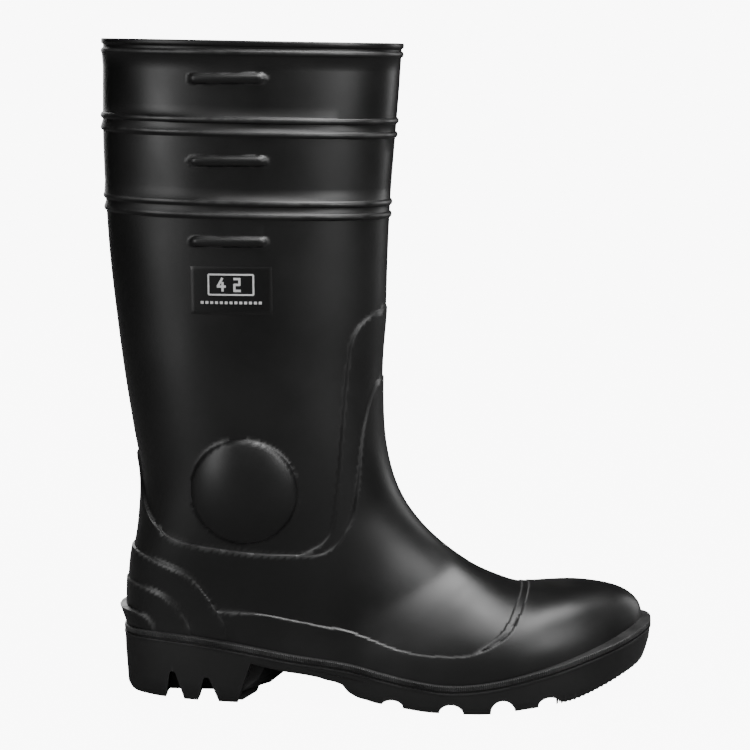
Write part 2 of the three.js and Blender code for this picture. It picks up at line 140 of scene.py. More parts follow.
@dataclass(frozen=True)
class Last:
    """The form of the foot and leg: sections fanned from the rim, round the heel, to the toe.

    A place on it is a section, counted from 0 at the rim to 26 at the toe, and a share of the way round half
    of that section, from its front to its back or to a side-view line.
    """

    leg: float = 47.0
    foot: float = 51.0
    toe: float = 26.0
    room_for_relief: bool = False
    fine: int = 128
    bend_weight: float = 14.0
    hidden_weight: float = 0.1
    hidden_fade: float = 12.0
    crowding: float = 0.55

    def stations(self) -> Array:
        """The drawn sections: front x and z, back x and z, half width, sideways shift, belly, two powers."""
        leg, foot = self.leg, self.foot
        table = np.array([
            [12.4, 371.4, -155, 374.4, leg, 0, 0.5, 2.15, 2.15],
            [10.7, 345, -155.7, 348, leg, 0, 0.5, 2.15, 2.15],
            [8.3, 316, -156, 319, leg * 0.995, 0, 0.5, 2.15, 2.15],
            [5.9, 285, -155.2, 288, leg * 0.98, 0, 0.5, 2.15, 2.15],
            [4.4, 252, -153.3, 253, leg * 0.96, 0, 0.5, 2.15, 2.15],
            [3.4, 222, -150, 219, leg * 0.94, 0, 0.5, 2.15, 2.15],
            [1.2, 194, -146.1, 186, leg * 0.93, 0, 0.5, 2.1, 2.15],
            [0.8, 168, -141.4, 154, leg * 0.92, 0, 0.5, 2.1, 2.15],
            [2.2, 146, -137.8, 125, leg * 0.91, 0, 0.5, 2.05, 2.15],
            [6.6, 126, -139.4, 98, leg * 0.89, 0, 0.5, 2, 2.2],
            [14.2, 110.4, -143.6, 75, foot * 0.79, 0, 0.5, 1.95, 2.25],
            [23.3, 98, -145.2, 54, foot * 0.76, 0, 0.5, 1.95, 2.3],
            [32.2, 89, -146, 30, foot * 0.74, 0, 0.49, 1.95, 2.35],
            [40.4, 82.4, -145.4, 5, foot * 0.735, -0.5, 0.48, 1.95, 2.4],
            [47.5, 77.5, -136, -18, foot * 0.745, -1, 0.47, 1.95, 2.5],
            [54.6, 73.2, -108, -28, foot * 0.77, -2, 0.45, 1.98, 2.7],
            [61.3, 69.9, -70, -30, foot * 0.82, -2.5, 0.44, 2, 2.9],
            [69, 66.9, -25, -30, foot * 0.9, -2, 0.43, 2.05, 3],
            [78, 64.4, 20, -30, foot * 0.975, -1, 0.43, 2.1, 3],
            [88, 63.2, 58, -30, foot, 1, 0.43, 2.2, 3],
            [99, 63.6, 86, -28, foot * 0.955, 3, 0.43, 2.3, 3],
            [112, 64.1, 108, -25, foot * 0.86, 5, 0.43, 2.3, 3],
            [124, 63.4, 124, -20, foot * 0.735, 6.5, 0.43, 2.25, 2.8],
            [134.5, 61.6, 136, -12, foot * 0.585, 7.5, 0.44, 2.2, 2.6],
            [142.5, 58.2, 144.5, 0, foot * 0.41, 8, 0.45, 2.1, 2.4],
            [147.9, 52.6, 149.2, 16, foot * 0.24, 8, 0.48, 2, 2.2],
            [149.9, 46.4, 150.4, 30, foot * 0.09, 8, 0.5, 2, 2],
        ])
        if self.room_for_relief:
            table[:10, 0] += 0.7
            table[17:, 1] -= [0.6, 1.8, 2.7, 2.9, 2.9, 2.9, 2.8, 2.4, 1.6, 1.0]
            table[8:14, 2] += [0.9, 1.0, 1.3, 1.5, 2.7, 2.9]
            table[9:14, 4] -= [0.5, 1.2, 2.2, 2.8, 3.0]
            table[14:, 4] -= 2.4
        return table

    def at(self, u: Array) -> Array:
        """The station values at each section, by a Catmull-Rom spline through the drawn ones."""
        table = self.stations()
        i = np.clip(np.floor(u).astype(int), 0, len(table) - 2)
        t = (u - i)[:, None]
        around = (table[np.clip(i + k, 0, len(table) - 1)] for k in (-1, 0, 1, 2))
        return blend(*around, t)

    def halves(self, u: Array) -> tuple[Array, Array]:
        """Fine points of half of each section.

        Args:
            u: the sections.

        Returns:
            Points (sections, fine + 1, 3) as x, distance from the middle, z; and each section's shift.
        """
        front_x, front_z, back_x, back_z, half, shift, belly, front_power, back_power = self.at(u).T[:, :, None]
        angle = np.linspace(0, math.pi, self.fine + 1)[None, :]
        ahead = angle < math.pi / 2
        power = 2 / np.where(ahead, front_power, back_power)
        reach = np.abs(np.cos(angle)) ** power
        share = np.where(ahead, belly * (1 - reach), belly + (1 - belly) * reach)
        wide = half * np.clip(np.sin(angle), 0, None) ** power
        x = front_x + (back_x - front_x) * share
        z = front_z + (back_z - front_z) * share
        return np.stack([x, wide, z], axis=2), shift[:, 0]

    def skin(self, u: Array, columns: int, line: SideLine) -> tuple[Array, Array]:
        """Points of the last, row by row, on one half, which are sparse where a side-view line hides them.

        Args:
            u: the section of each row.
            columns: points in each row, from the front to the back or the bottom.
            line: the side-view line.

        Returns:
            Points (rows, columns, 3) as in halves, and each row's shift.
        """
        fine, shift = self.halves(u)
        steps = np.diff(fine, axis=1)
        length = np.linalg.norm(steps, axis=2)
        way = steps / np.maximum(length, 1e-9)[:, :, None]
        turn = np.arccos(np.clip((way[:, 1:] * way[:, :-1]).sum(2), -1, 1))
        cost = length + self.bend_weight * np.pad(turn, ((0, 0), (1, 0)))
        hidden = line.height(fine[:, 1:, 0]) - fine[:, 1:, 2]
        cost *= 1 - (1 - self.hidden_weight) * smoothstep(hidden, 0, self.hidden_fade)
        run = np.pad(np.cumsum(cost, axis=1), ((0, 0), (1, 0)))
        out = np.empty((len(u), columns, 3))
        for i in range(len(u)):
            wanted = np.linspace(0, run[i, -1], columns)
            for axis in range(3):
                out[i, :, axis] = np.interp(wanted, run[i], fine[i, :, axis])
        return out, shift

    @property
    def rim_front(self) -> float:
        """The height of the front of the rim."""
        return float(self.at(np.zeros(1))[0, 1])

    def section_at_front(self, z: float) -> float:
        """The section whose front is at a height."""
        u = np.linspace(0, 12, 2401)
        return float(np.interp(-z, -self.at(u)[:, 1], u))

    def rows(self, spacing: Callable[[Array], Array], line: SideLine, exact: Iterable[float] = ()) -> Array:
        """Sections that stand no further apart than a spacing, where they show.

        Args:
            spacing: the spacing wanted at each section.
            line: the side-view line that hides what is below it.
            exact: sections that are rows themselves.

        Returns:
            The sections, in order.
        """
        u = np.linspace(0, self.toe, 2601)
        points, _ = self.skin(u, 13, line)
        points[:, :, 2] = np.maximum(points[:, :, 2], line.height(points[:, :, 0]) - 2)
        moved = np.linalg.norm(np.diff(points, axis=0), axis=2).max(axis=1)
        run = np.concatenate([[0], np.cumsum(moved / spacing((u[1:] + u[:-1]) / 2))])
        count = math.ceil(run[-1])
        base = np.interp(np.arange(0, count + 1) * run[-1] / count, run, u)
        fixed = np.array(sorted(exact))
        if len(fixed):
            gap = np.abs(base[:, None] - fixed[None, :]).min(axis=1)
            step = np.gradient(base)
            keep = gap > self.crowding * step
            keep[[0, -1]] = True
            base = np.concatenate([base[keep], fixed])
        return np.unique(np.round(base, 6))


CORE = Last()
SKIN = Last(room_for_relief=True)


# ---- Surfaces ------------------------------------------------------------------------------------------


def add_object(name: str, data: bpy.types.ID) -> bpy.types.Object:
    """Makes an object of a mesh, a camera or a light, linked to the scene."""
    obj = bpy.data.objects.new(name, data)
    bpy.context.scene.collection.objects.link(obj)
    return obj


@dataclass
class MeshData:
    """Vertices and faces that are gathered before a mesh is made, in millimetres."""

    points: list[Array] = field(default_factory=list)
    faces: list[tuple[int, ...]] = field(default_factory=list)
    count: int = 0

    def add_points(self, points: Array) -> Array:
        """Adds points of any array shape and returns their numbers, in that shape."""
        flat = points.reshape(-1, 3)
        numbers = np.arange(self.count, self.count + len(flat)).reshape(points.shape[:-1])
        self.points.append(flat)
        self.count += len(flat)
        return numbers

    def add_face(self, *corners: int) -> None:
        """Adds one face, without the corners that repeat."""
        ring = [c for i, c in enumerate(corners) if c != corners[i - 1]]
        if len(set(ring)) > 2:
            self.faces.append(tuple(dict.fromkeys(ring)))

    def add_grid(self, numbers: Array, flip: bool = False, wrap: bool = False) -> None:
        """Adds the faces of a grid of points.

        Args:
            numbers: the points' numbers, row by row.
            flip: whether the faces turn the other way.
            wrap: whether the last column joins the first.
        """
        across = np.roll(numbers, -1, axis=1) if wrap else numbers[:, 1:]
        here = numbers if wrap else numbers[:, :-1]
        quads = np.stack([here[:-1], across[:-1], across[1:], here[1:]], axis=2).reshape(-1, 4)
        if flip:
            quads = quads[:, ::-1]
        plain = (quads != np.roll(quads, 1, axis=1)).all(axis=1)
        self.faces.extend(map(tuple, quads[plain].tolist()))
        for quad in quads[~plain].tolist():
            self.add_face(*quad)

    def add_loop(self, ring: Array) -> None:
        """Adds one face round a ring of point numbers."""
        self.faces.append(tuple(int(n) for n in ring))

    def add_solid(self, sections: Sequence[Array]) -> None:
        """Adds the closed skin through outlines of equal length, with a face at each end."""
        self.add_grid(np.stack(sections), flip=True, wrap=True)
        self.add_loop(sections[0])
        self.add_loop(sections[-1][::-1])

    def build(
        self, name: str, smooth: bool = True, sharp_above: Optional[float] = None, edge_highlight: Optional[Array] = None
    ) -> bpy.types.Object:
        """Makes the object, in metres and in the frame.

        Args:
            name: its name.
            smooth: whether its faces shade smoothly.
            sharp_above: the angle in degrees above which its edges stay sharp.
            edge_highlight: how much painted highlight each point takes along an edge, from 0 to 1, which the finishes
                read.

        Returns:
            The new object, linked to the scene.
        """
        points = (np.vstack(self.points) + ORIGIN) * MM
        used, renumbered = np.unique([c for f in self.faces for c in f], return_inverse=True)
        ends = np.cumsum([len(f) for f in self.faces])
        faces = [part.tolist() for part in np.split(renumbered, ends[:-1])]
        mesh = bpy.data.meshes.new(name)
        mesh.from_pydata(points[used].tolist(), [], faces)
        # The painted highlight along the edges is kept on the points for the finishes.
        if edge_highlight is not None:
            mesh.attributes.new("edge_highlight", "FLOAT", "POINT").data.foreach_set("value", edge_highlight[used].astype(np.float32))
        mesh.validate()
        mesh.polygons.foreach_set("use_smooth", [smooth] * len(mesh.polygons))
        if sharp_above is not None:
            mesh.set_sharp_from_angle(angle=math.radians(sharp_above))
        return add_object(name, mesh)


@dataclass
class Sheet:
    """A closed surface round the last: two halves of points, with the way out at each."""

    halves: dict[Side, Array]
    out: dict[Side, Array]

    @classmethod
    def over(cls, last: Last, u: Array, columns: int, line: SideLine) -> "Sheet":
        """The sheet of some rows of a last, sparse below a side-view line."""
        points, shift = last.skin(u, columns, line)
        halves = {}
        for side in Side:
            half = points.copy()
            half[:, :, 1] = shift[:, None] + side.value * points[:, :, 1]
            halves[side] = half
        return cls(halves, {side: cls.outwards(halves, side) for side in Side})

    @staticmethod
    def outwards(halves: dict[Side, Array], side: Side) -> Array:
        """The way out of the last at each point of one half."""
        here, there = halves[side], halves[Side(-side.value)]
        wide = np.concatenate([there[:, 1:2], here, there[:, -2:-1]], axis=1)
        along = np.gradient(wide, axis=0)[:, 1:-1]
        around = (wide[:, 2:] - wide[:, :-2]) / 2
        normal = np.cross(around, along) * -side.value
        return normal / np.maximum(np.linalg.norm(normal, axis=2), 1e-9)[:, :, None]

    def lifted(self, lift: dict[Side, Array], floor: SideLine) -> dict[Side, Array]:
        """The points of each half, moved outwards by each one's lift and held above a floor."""
        moved = {side: self.halves[side] + self.out[side] * lift[side][:, :, None] for side in Side}
        for points in moved.values():
            points[:, :, 2] = np.maximum(points[:, :, 2], floor.height(points[:, :, 0]))
        return moved

    @staticmethod
    def welded(data: MeshData, points: dict[Side, Array]) -> dict[Side, Array]:
        """Adds the points and joins the halves at the front and at the back or the bottom.

        Args:
            data: the mesh that they are added to.
            points: each half's points.

        Returns:
            Each half's point numbers.
        """
        numbers = {side: data.add_points(points[side]) for side in Side}
        for column in (0, -1):
            numbers[Side.INNER][:, column] = numbers[Side.OUTER][:, column]
        return numbers

    @staticmethod
    def cover(data: MeshData, numbers: dict[Side, Array], outward: bool, toe: bool) -> None:
        """Adds the faces of both halves and the small flat face at the toe.

        Args:
            data: the mesh that they are added to.
            numbers: each half's point numbers.
            outward: whether the faces look out of the last.
            toe: whether the last row is the toe's.
        """
        for side in Side:
            data.add_grid(numbers[side], flip=(side is Side.INNER) == outward)
        if toe:
            data.add_grid(np.stack([numbers[Side.OUTER][-1], numbers[Side.INNER][-1]]), flip=not outward)


# ---- Relief of the moulding ----------------------------------------------------------------------------

FAR = 400.0


def nearest(q: Array, path: Array) -> tuple[Array, Array]:
    """The nearest place on a path.

    Args:
        q: side-view points.
        path: points of the path, in order.

    Returns:
        Each point's distance from the path, and the place that is nearest to it.
    """
    best = np.full(len(q), 1e9)
    place = np.zeros_like(q)
    for a, b in zip(path, path[1:]):
        way = b - a
        t = np.clip(((q - a) @ way) / max(way @ way, 1e-9), 0, 1)
        spot = a + t[:, None] * way
        away = ((q - spot) ** 2).sum(axis=1)
        closer = away < best
        best[closer] = away[closer]
        place[closer] = spot[closer]
    return np.sqrt(best), place


def inside(q: Array, outline: Array) -> Array:
    """Which side-view points are inside a closed outline."""
    hit = np.zeros(len(q), bool)
    for (x0, z0), (x1, z1) in zip(outline, np.roll(outline, -1, axis=0)):
        if z0 == z1:
            continue
        crosses = (z0 > q[:, 1]) != (z1 > q[:, 1])
        hit ^= crosses & (q[:, 0] < (x1 - x0) * (q[:, 1] - z0) / (z1 - z0) + x0)
    return hit


@dataclass(frozen=True)
class Edge:
    """How the points of the moulding gather along the edge of a raised area, so that the edge is crisp."""

    width: float = 0.24
    catch: float = 2.0
    # How strong and how wide the painted highlight along the edge is.
    edge_highlight: float = 1.0
    highlight_reach: float = 0.42

    def pulled(self, depth: Array, pitch: Array) -> Array:
        """The depth inside the edge, once the points next to it have gathered on either side of it.

        Args:
            depth: how far inside the edge each point is.
            pitch: how far apart the points there are, across the edge.

        Returns:
            The new depths.
        """
        size = np.abs(depth)
        catch = np.clip(pitch, 1.6 * self.width, self.catch)
        near = self.width * (1 + 0.1 * size / catch)
        beyond = self.width * 1.1 + (size - catch) * (2 * catch - self.width * 1.1) / catch
        moved = np.where(size < catch, near, np.where(size < 2 * catch, beyond, size))
        return np.sign(depth) * moved

    def edge_light(self, depth: Array, way: Array) -> Array:
        """How much painted highlight the edge takes at each depth: most where it runs level and so faces the lights
        above.
        """
        level = np.clip(np.abs(way[:, 1]) * 1.3, 0.12, 1)
        return self.edge_highlight * level * np.exp(-(((depth - self.width) / self.highlight_reach) ** 2))


@dataclass(frozen=True)
class Area:
    """A raised area of the moulding, in the side view: what is below or behind a line."""

    line: Sequence[Point]
    closing: Sequence[Point]
    height: float
    edge: Edge = Edge()
    layer: str = ""

    def depth(self, q: Array) -> tuple[Array, Array]:
        """How far inside the area each point is, and the way further in."""
        path = spline(self.line)
        outline = np.vstack([path, np.array(self.closing, float)])
        low, high = path.min(axis=0) - 5, path.max(axis=0) + 5
        close = ((q > low) & (q < high)).all(axis=1)
        away = np.full(len(q), 50.0)
        way = np.zeros_like(q)
        away[close], spot = nearest(q[close], path)
        way[close] = q[close] - spot
        sign = np.where(inside(q, outline), 1.0, -1.0)
        way *= (sign / np.maximum(away, 1e-6))[:, None]
        return sign * away, way

    def lift(self, depth: Array, q: Array) -> Array:
        """How proud the area stands at a depth inside it."""
        return self.height * smoothstep(depth, -self.edge.width, self.edge.width)


@dataclass(frozen=True)
class Spur(Area):
    """The kick-off ledge round the back of the heel, which stands out most at its top."""

    tip: float = 3.8
    root: float = 37.0
    top: float = 48.6

    def lift(self, depth: Array, q: Array) -> Array:
        """How proud the ledge stands."""
        back = smoothstep(-q[:, 0], 128, 146)
        up = np.clip((q[:, 1] - self.root) / (self.top - self.root), 0, 1)
        size = self.height * (1 - back) * (0.35 + 0.65 * up) + self.tip * back * up
        return size * smoothstep(depth, -self.edge.width, self.edge.width)


@dataclass(frozen=True)
class Pad:
    """The round pad over the ankle bone."""

    centre: Point = (-72.9, 123.3)
    radius: float = 30.0
    step: float = 1.1
    dome: float = 5.2
    edge: Edge = Edge(catch=1.3, edge_highlight=0.0)

    def depth(self, q: Array) -> tuple[Array, Array]:
        """How far inside the pad each point is, and the way further in."""
        way = np.array(self.centre) - q
        away = np.linalg.norm(way, axis=1)
        return self.radius - away, way / np.maximum(away, 1e-6)[:, None]

    def lift(self, depth: Array, q: Array) -> Array:
        """How proud the pad stands."""
        share = np.clip(1 - depth / self.radius, 0, 1)
        crown = self.dome * (1 - share**2) ** 0.85
        return (self.step + crown) * smoothstep(depth, -self.edge.width, self.edge.width)


@dataclass(frozen=True)
class Bar:
    """A half-round bar to grip by."""

    level: float
    middle: float = -79.3
    length: float = 42.4
    thickness: float = 6.0
    height: float = 2.4
    edge: Edge = Edge(width=0.12, catch=0.5)

    def depth(self, q: Array) -> tuple[Array, Array]:
        """How far inside the bar each point is, and the way further in."""
        reach = (self.length - self.thickness) / 2
        along = np.clip(q[:, 0], self.middle - reach, self.middle + reach)
        axis = np.stack([along, np.full(len(q), self.level)], axis=1)
        way = axis - q
        away = np.linalg.norm(way, axis=1)
        return self.thickness / 2 - away, way / np.maximum(away, 1e-6)[:, None]

    def lift(self, depth: Array, q: Array) -> Array:
        """How proud the bar stands: half round."""
        share = np.clip(1 - depth / (self.thickness / 2), 0, 1)
        return self.height * np.sqrt(1 - share**2)


@dataclass(frozen=True)
class Rib:
    """A bead that goes round the leg in a plane that falls a little towards the front."""

    front: float
    back: float
    height: float = 1.25
    reach: float = 1.75

    def level(self, x: Array) -> Array:
        """The height of the bead's middle at each x."""
        return np.interp(x, [-156, 8], [self.back, self.front])

    def lift(self, q: Array) -> Array:
        """How proud the bead stands."""
        share = np.clip(np.abs(q[:, 1] - self.level(q[:, 0])) / self.reach, 0, 1)
        return self.height * np.sqrt(1 - share**2)

    def edge_light(self, q: Array) -> Array:
        """How much painted highlight the bead takes: most just above its middle, where it faces the lights above."""
        over = q[:, 1] - self.level(q[:, 0])
        return 0.8 * np.exp(-(((over - 0.4) / 0.7) ** 2))


FRONT_EDGE = [
    (14, 224), (4.1, 223.4), (-2.4, 221.6), (-9.5, 214.9), (-13.6, 206.1), (-15.6, 192.5), (-18.2, 164.7),
    (-21.5, 119.7), (-23.8, 102.5), (-28.9, 93.9), (-36.8, 89.1), (-44.1, 86.7),
]
LOWER_EDGE = [
    (-44.1, 86.7), (-63.9, 87.5), (-86.6, 89.8), (-110.1, 92.9), (-122.4, 98.2), (-130.3, 107.6), (-135.3, 123),
    (-138.2, 138), (-150, 158), (-170, 170),
]
INSTEP_EDGE = [
    (12, 185), (3, 183.6), (-1.4, 181.1), (-5.3, 168.1), (-8.2, 152.2), (-10.6, 124.7), (-13.3, 108), (-17.1, 99.2),
    (-22.2, 92.3), (-28.9, 87.5), (-36.8, 86), (-44.1, 86.7),
]
BELOW = [(-FAR, 170), (-FAR, -FAR), (FAR, -FAR)]
GUARD_EDGE = [
    (-175, 56), (-120, 54.5), (-89.7, 53.1), (-64.4, 51.8), (-30.2, 45.4), (-15.4, 42.9), (6.9, 35.6), (20.4, 32.6),
    (35.6, 31.6), (46.2, 31.8), (55.6, 33.2), (67.8, 38), (77.2, 44.8), (83.7, 55.1), (87.6, 62.7), (91, 66.5),
    (94, 74),
]
BAND_EDGE = [(55.6, 33.2), (71.6, 44.2), (79.4, 55.8), (83.1, 62.6), (86, 67), (88, 74)]


@dataclass
class Relief:
    """All that stands proud of the leg and foot."""

    areas: Sequence[Area] = (
        Area(FRONT_EDGE + LOWER_EDGE[1:], [*BELOW, (FAR, 224)], 0.75),
        Area(INSTEP_EDGE + LOWER_EDGE[1:], [*BELOW, (FAR, 185)], 0.7),
        Area(GUARD_EDGE, [(FAR, 74), (FAR, -FAR), (-FAR, -FAR), (-FAR, 56)], 1.0, layer="foot"),
        Area(BAND_EDGE, GUARD_EDGE[:9:-1], 0.5),
        Area(
            [(-175, 87), (-143.6, 84.5), (-131.2, 82.1), (-117.8, 78.5), (-105.1, 73.2), (-96, 62.6), (-89.7, 53.1),
             (-85.2, 45.6), (-84.2, 37), (-84, 20)],
            [(-84, -FAR), (-FAR, -FAR), (-FAR, 87)],
            1.3,
            layer="foot",
        ),
        Area(
            [(-175, 66), (-146.3, 65.3), (-134.4, 64.6), (-120.6, 60.9), (-111.1, 53.1), (-105.7, 43.8),
             (-104.4, 36), (-104.2, 20)],
            [(-104.2, -FAR), (-FAR, -FAR), (-FAR, 66)],
            0.95,
        ),
    )
    spur: Spur = Spur(
        [(-175, 49.2), (-151, 49.1), (-137.9, 48.8), (-131, 47.2), (-126.6, 42.8), (-125, 37), (-124.8, 20)],
        [(-124.8, -FAR), (-FAR, -FAR), (-FAR, 49.2)],
        0.9,
    )
    pad: Pad = Pad()
    bars: Sequence[Bar] = (Bar(352.6), Bar(308.0), Bar(263.8))
    ribs: Sequence[Rib] = (
        Rib(365.2, 367.5), Rib(328.5, 331.7), Rib(320.8, 325.0), Rib(283.1, 286.9), Rib(276.1, 280.1),
    )
    rim_rows: Sequence[Point] = (
        (3.5, 0.0), (3.1, 0.25), (2.75, 0.85), (2.2, 1.1), (0.7, 1.1), (0.25, 0.9), (0.0, 0.45),
    )
    snap: float = 1.05

    def features(self) -> list:
        """Everything that has an edge for the points to gather along."""
        return [*sorted(self.areas, key=lambda area: -area.height), self.spur, self.pad, *self.bars]

    def press(self, sheet: Sheet, side: Side) -> tuple[Array, Array, Array]:
        """Gathers one half's points along the edges and finds how proud each one stands.

        Args:
            sheet: the smooth surface, whose points are moved along it.
            side: the half.

        Returns:
            The half's new points, its lift, and how much painted highlight each point takes near an edge.
        """
        points = sheet.halves[side].reshape(-1, 3).copy()
        out = sheet.out[side].reshape(-1, 3)
        layers = {}
        free = np.ones(sheet.halves[side].shape[:2], bool)
        free[:, [0, -1]] = False
        slide = free.reshape(-1)[:, None]
        # Painted highlight along the edges and on the tops of the ribs.
        edge_highlight = np.zeros(len(points))
        pitches = [np.gradient(sheet.halves[side], axis=axis).reshape(-1, 3) for axis in (0, 1)]
        for feature in self.features():
            q = points[:, [0, 2]]
            depth, way = feature.depth(q)
            flat = np.stack([way[:, 0], np.zeros(len(way)), way[:, 1]], axis=1)
            pitch = self.snap * np.max([np.abs((step * flat).sum(axis=1)) for step in pitches], axis=0)
            pulled = feature.edge.pulled(depth, pitch)
            near = np.abs(depth) < 2 * feature.edge.catch
            tangent = flat - (flat * out).sum(axis=1)[:, None] * out
            size = np.maximum((tangent**2).sum(axis=1), 0.2)[:, None]
            step = tangent * (pulled - depth)[:, None] / size
            points = np.where(near[:, None] & slide, points + step, points)
            depth = np.where(near & slide[:, 0], pulled, depth)
            rise = feature.lift(depth, points[:, [0, 2]])
            layer = getattr(feature, "layer", "") or str(id(feature))
            told = feature.edge.edge_light(depth, way)
            edge_highlight = np.maximum(edge_highlight, np.where(rise > layers.get(layer, -1.0), told, 0.0))
            layers[layer] = np.maximum(layers.get(layer, 0.0), rise)
        lift = sum(layers.values())
        for rib in self.ribs:
            lift = lift + rib.lift(points[:, [0, 2]])
            edge_highlight = np.maximum(edge_highlight, rib.edge_light(points[:, [0, 2]]))
        shape = sheet.halves[side].shape
        return points.reshape(shape), lift.reshape(shape[:2]), edge_highlight.reshape(shape[:2])


@dataclass
class Upper:
    """The moulded leg and foot, with its rim, ribs, bars, pads and panels.

    It is meshed as a cuff and a foot, which meet in the crease under the lowest rib.
    """

    cuff_columns: int = 120
    foot_columns: int = 130
    wall: float = 3.0
    web: float = 0.25
    leg_spacing: float = 5.0
    inner_step: int = 11
    relief: Relief = field(default_factory=Relief)

    @property
    def crease(self) -> float:
        """The section where the cuff ends and the foot begins."""
        lowest = self.relief.ribs[-1]
        return SKIN.section_at_front(lowest.front - lowest.reach)

    def exact_rows(self) -> list[float]:
        """Rows that the ribs, the bars and the rim need."""
        shares = (-1.25, -1.0, -0.92, -0.7, -0.35, 0.0, 0.35, 0.7, 0.92, 1.0, 1.25)
        ribs = [rib.front + rib.reach * s for rib in self.relief.ribs for s in shares]
        steps = np.linspace(-4.4, 4.4, 15)
        bars = [bar.level - 1.6 + s for bar in self.relief.bars for s in steps]
        return sorted(SKIN.section_at_front(z) for z in [*ribs, *bars])

    def spacing(self, u: Array) -> Array:
        """The spacing wanted at each section."""
        places = [4.3, 4.7, 7.2, 7.8, 11.6, 12.2, 19.0, 19.6, 21.0, 21.6, 26]
        wanted = [self.leg_spacing, 2.4, 2.4, 1.5, 1.5, 2.3, 2.3, 1.5, 1.5, 2.4, 2.4]
        return np.interp(u, places, wanted)

    def build(self) -> tuple[bpy.types.Object, bpy.types.Object]:
        """Makes the two pieces: outside, rim and inside, with the bottom edge on the seat of the sole."""
        rows = np.unique(np.append(SKIN.rows(self.spacing, SEAT, self.exact_rows()), round(self.crease, 6)))
        top = SKIN.rim_front
        rim = [(SKIN.section_at_front(top - drop), lift) for drop, lift in self.relief.rim_rows]
        cuff_rows = rows[(rows > rim[0][0] + 0.01) & (rows <= self.crease + 1e-5)]
        foot_rows = rows[rows >= self.crease - 1e-5]
        cuff = self.piece("leg_cuff", cuff_rows, self.cuff_columns, rim)
        foot = self.piece("leg_and_foot", foot_rows, self.foot_columns, None)
        return cuff, foot

    def piece(self, name: str, rows: Array, columns: int, rim: Optional[Sequence[Point]]) -> bpy.types.Object:
        """Makes one piece of the moulding.

        Args:
            name: its name.
            rows: the sections of its rows.
            columns: how many points half of a row has.
            rim: the rows over the rim, or None for the foot.

        Returns:
            The piece.
        """
        sheet = Sheet.over(SKIN, rows, columns, SEAT)
        lifts, edge_highlights = {}, {}
        for side in Side:
            sheet.halves[side], lifts[side], edge_highlights[side] = self.relief.press(sheet, side)
        for part in (sheet.halves, lifts, edge_highlights):
            part[Side.INNER][:, [0, -1]] = part[Side.OUTER][:, [0, -1]]
        data = MeshData()
        outside = sheet.welded(data, sheet.lifted(lifts, SEAT))
        kept = sorted({*range(0, len(rows), self.inner_step), len(rows) - 1})
        inner_sheet = Sheet.over(CORE, rows[kept], columns, SEAT)
        inward = {side: np.full(inner_sheet.halves[side].shape[:2], -self.wall) for side in Side}
        within = inner_sheet.welded(data, inner_sheet.lifted(inward, SEAT.raised(self.web)))
        over = self.rim_sheet(data, rim, columns) if rim else None
        Sheet.cover(data, outside, True, toe=not rim)
        Sheet.cover(data, within, False, toe=not rim)
        for side in Side:
            bridge = [within[side][:1], *([over[side]] if rim else []), outside[side][:1]]
            data.add_grid(np.vstack(bridge), flip=side is Side.INNER)
            if rim:
                data.add_grid(np.vstack([outside[side][-1:], within[side][-1:]]), flip=side is Side.INNER)
        LOG.info("%s: %d rows, %d faces", name, len(rows), len(data.faces))
        # Painted highlight along the outside's edges, kept on its points.
        edge_highlight = np.zeros(data.count)
        for side in Side:
            edge_highlight[outside[side]] = edge_highlights[side]
        return data.build(name, sharp_above=65, edge_highlight=edge_highlight)

    def rim_sheet(self, data: MeshData, rim: Sequence[Point], columns: int) -> dict[Side, Array]:
        """Adds the rows that go over the rim, from the inside to the outside."""
        inner = [(2.6, -self.wall), (0.7, -self.wall), (0.2, -self.wall + 0.25), (0.0, -self.wall + 0.8)]
        top = SKIN.rim_front
        profile = [(SKIN.section_at_front(top - drop), lift) for drop, lift in inner] + list(reversed(rim))
        u, lift = np.array(profile).T
        shape = Sheet.over(SKIN, np.linspace(0, 0.12, len(u)), columns, SEAT)
        sheet = Sheet.over(SKIN, np.maximum(u, 0), columns, SEAT)
        sheet.out = shape.out
        lifts = {side: np.repeat(lift[:, None], columns, axis=1) for side in Side}
        return sheet.welded(data, sheet.lifted(lifts, SEAT))


# ---- Sole ----------------------------------------------------------------------------------------------


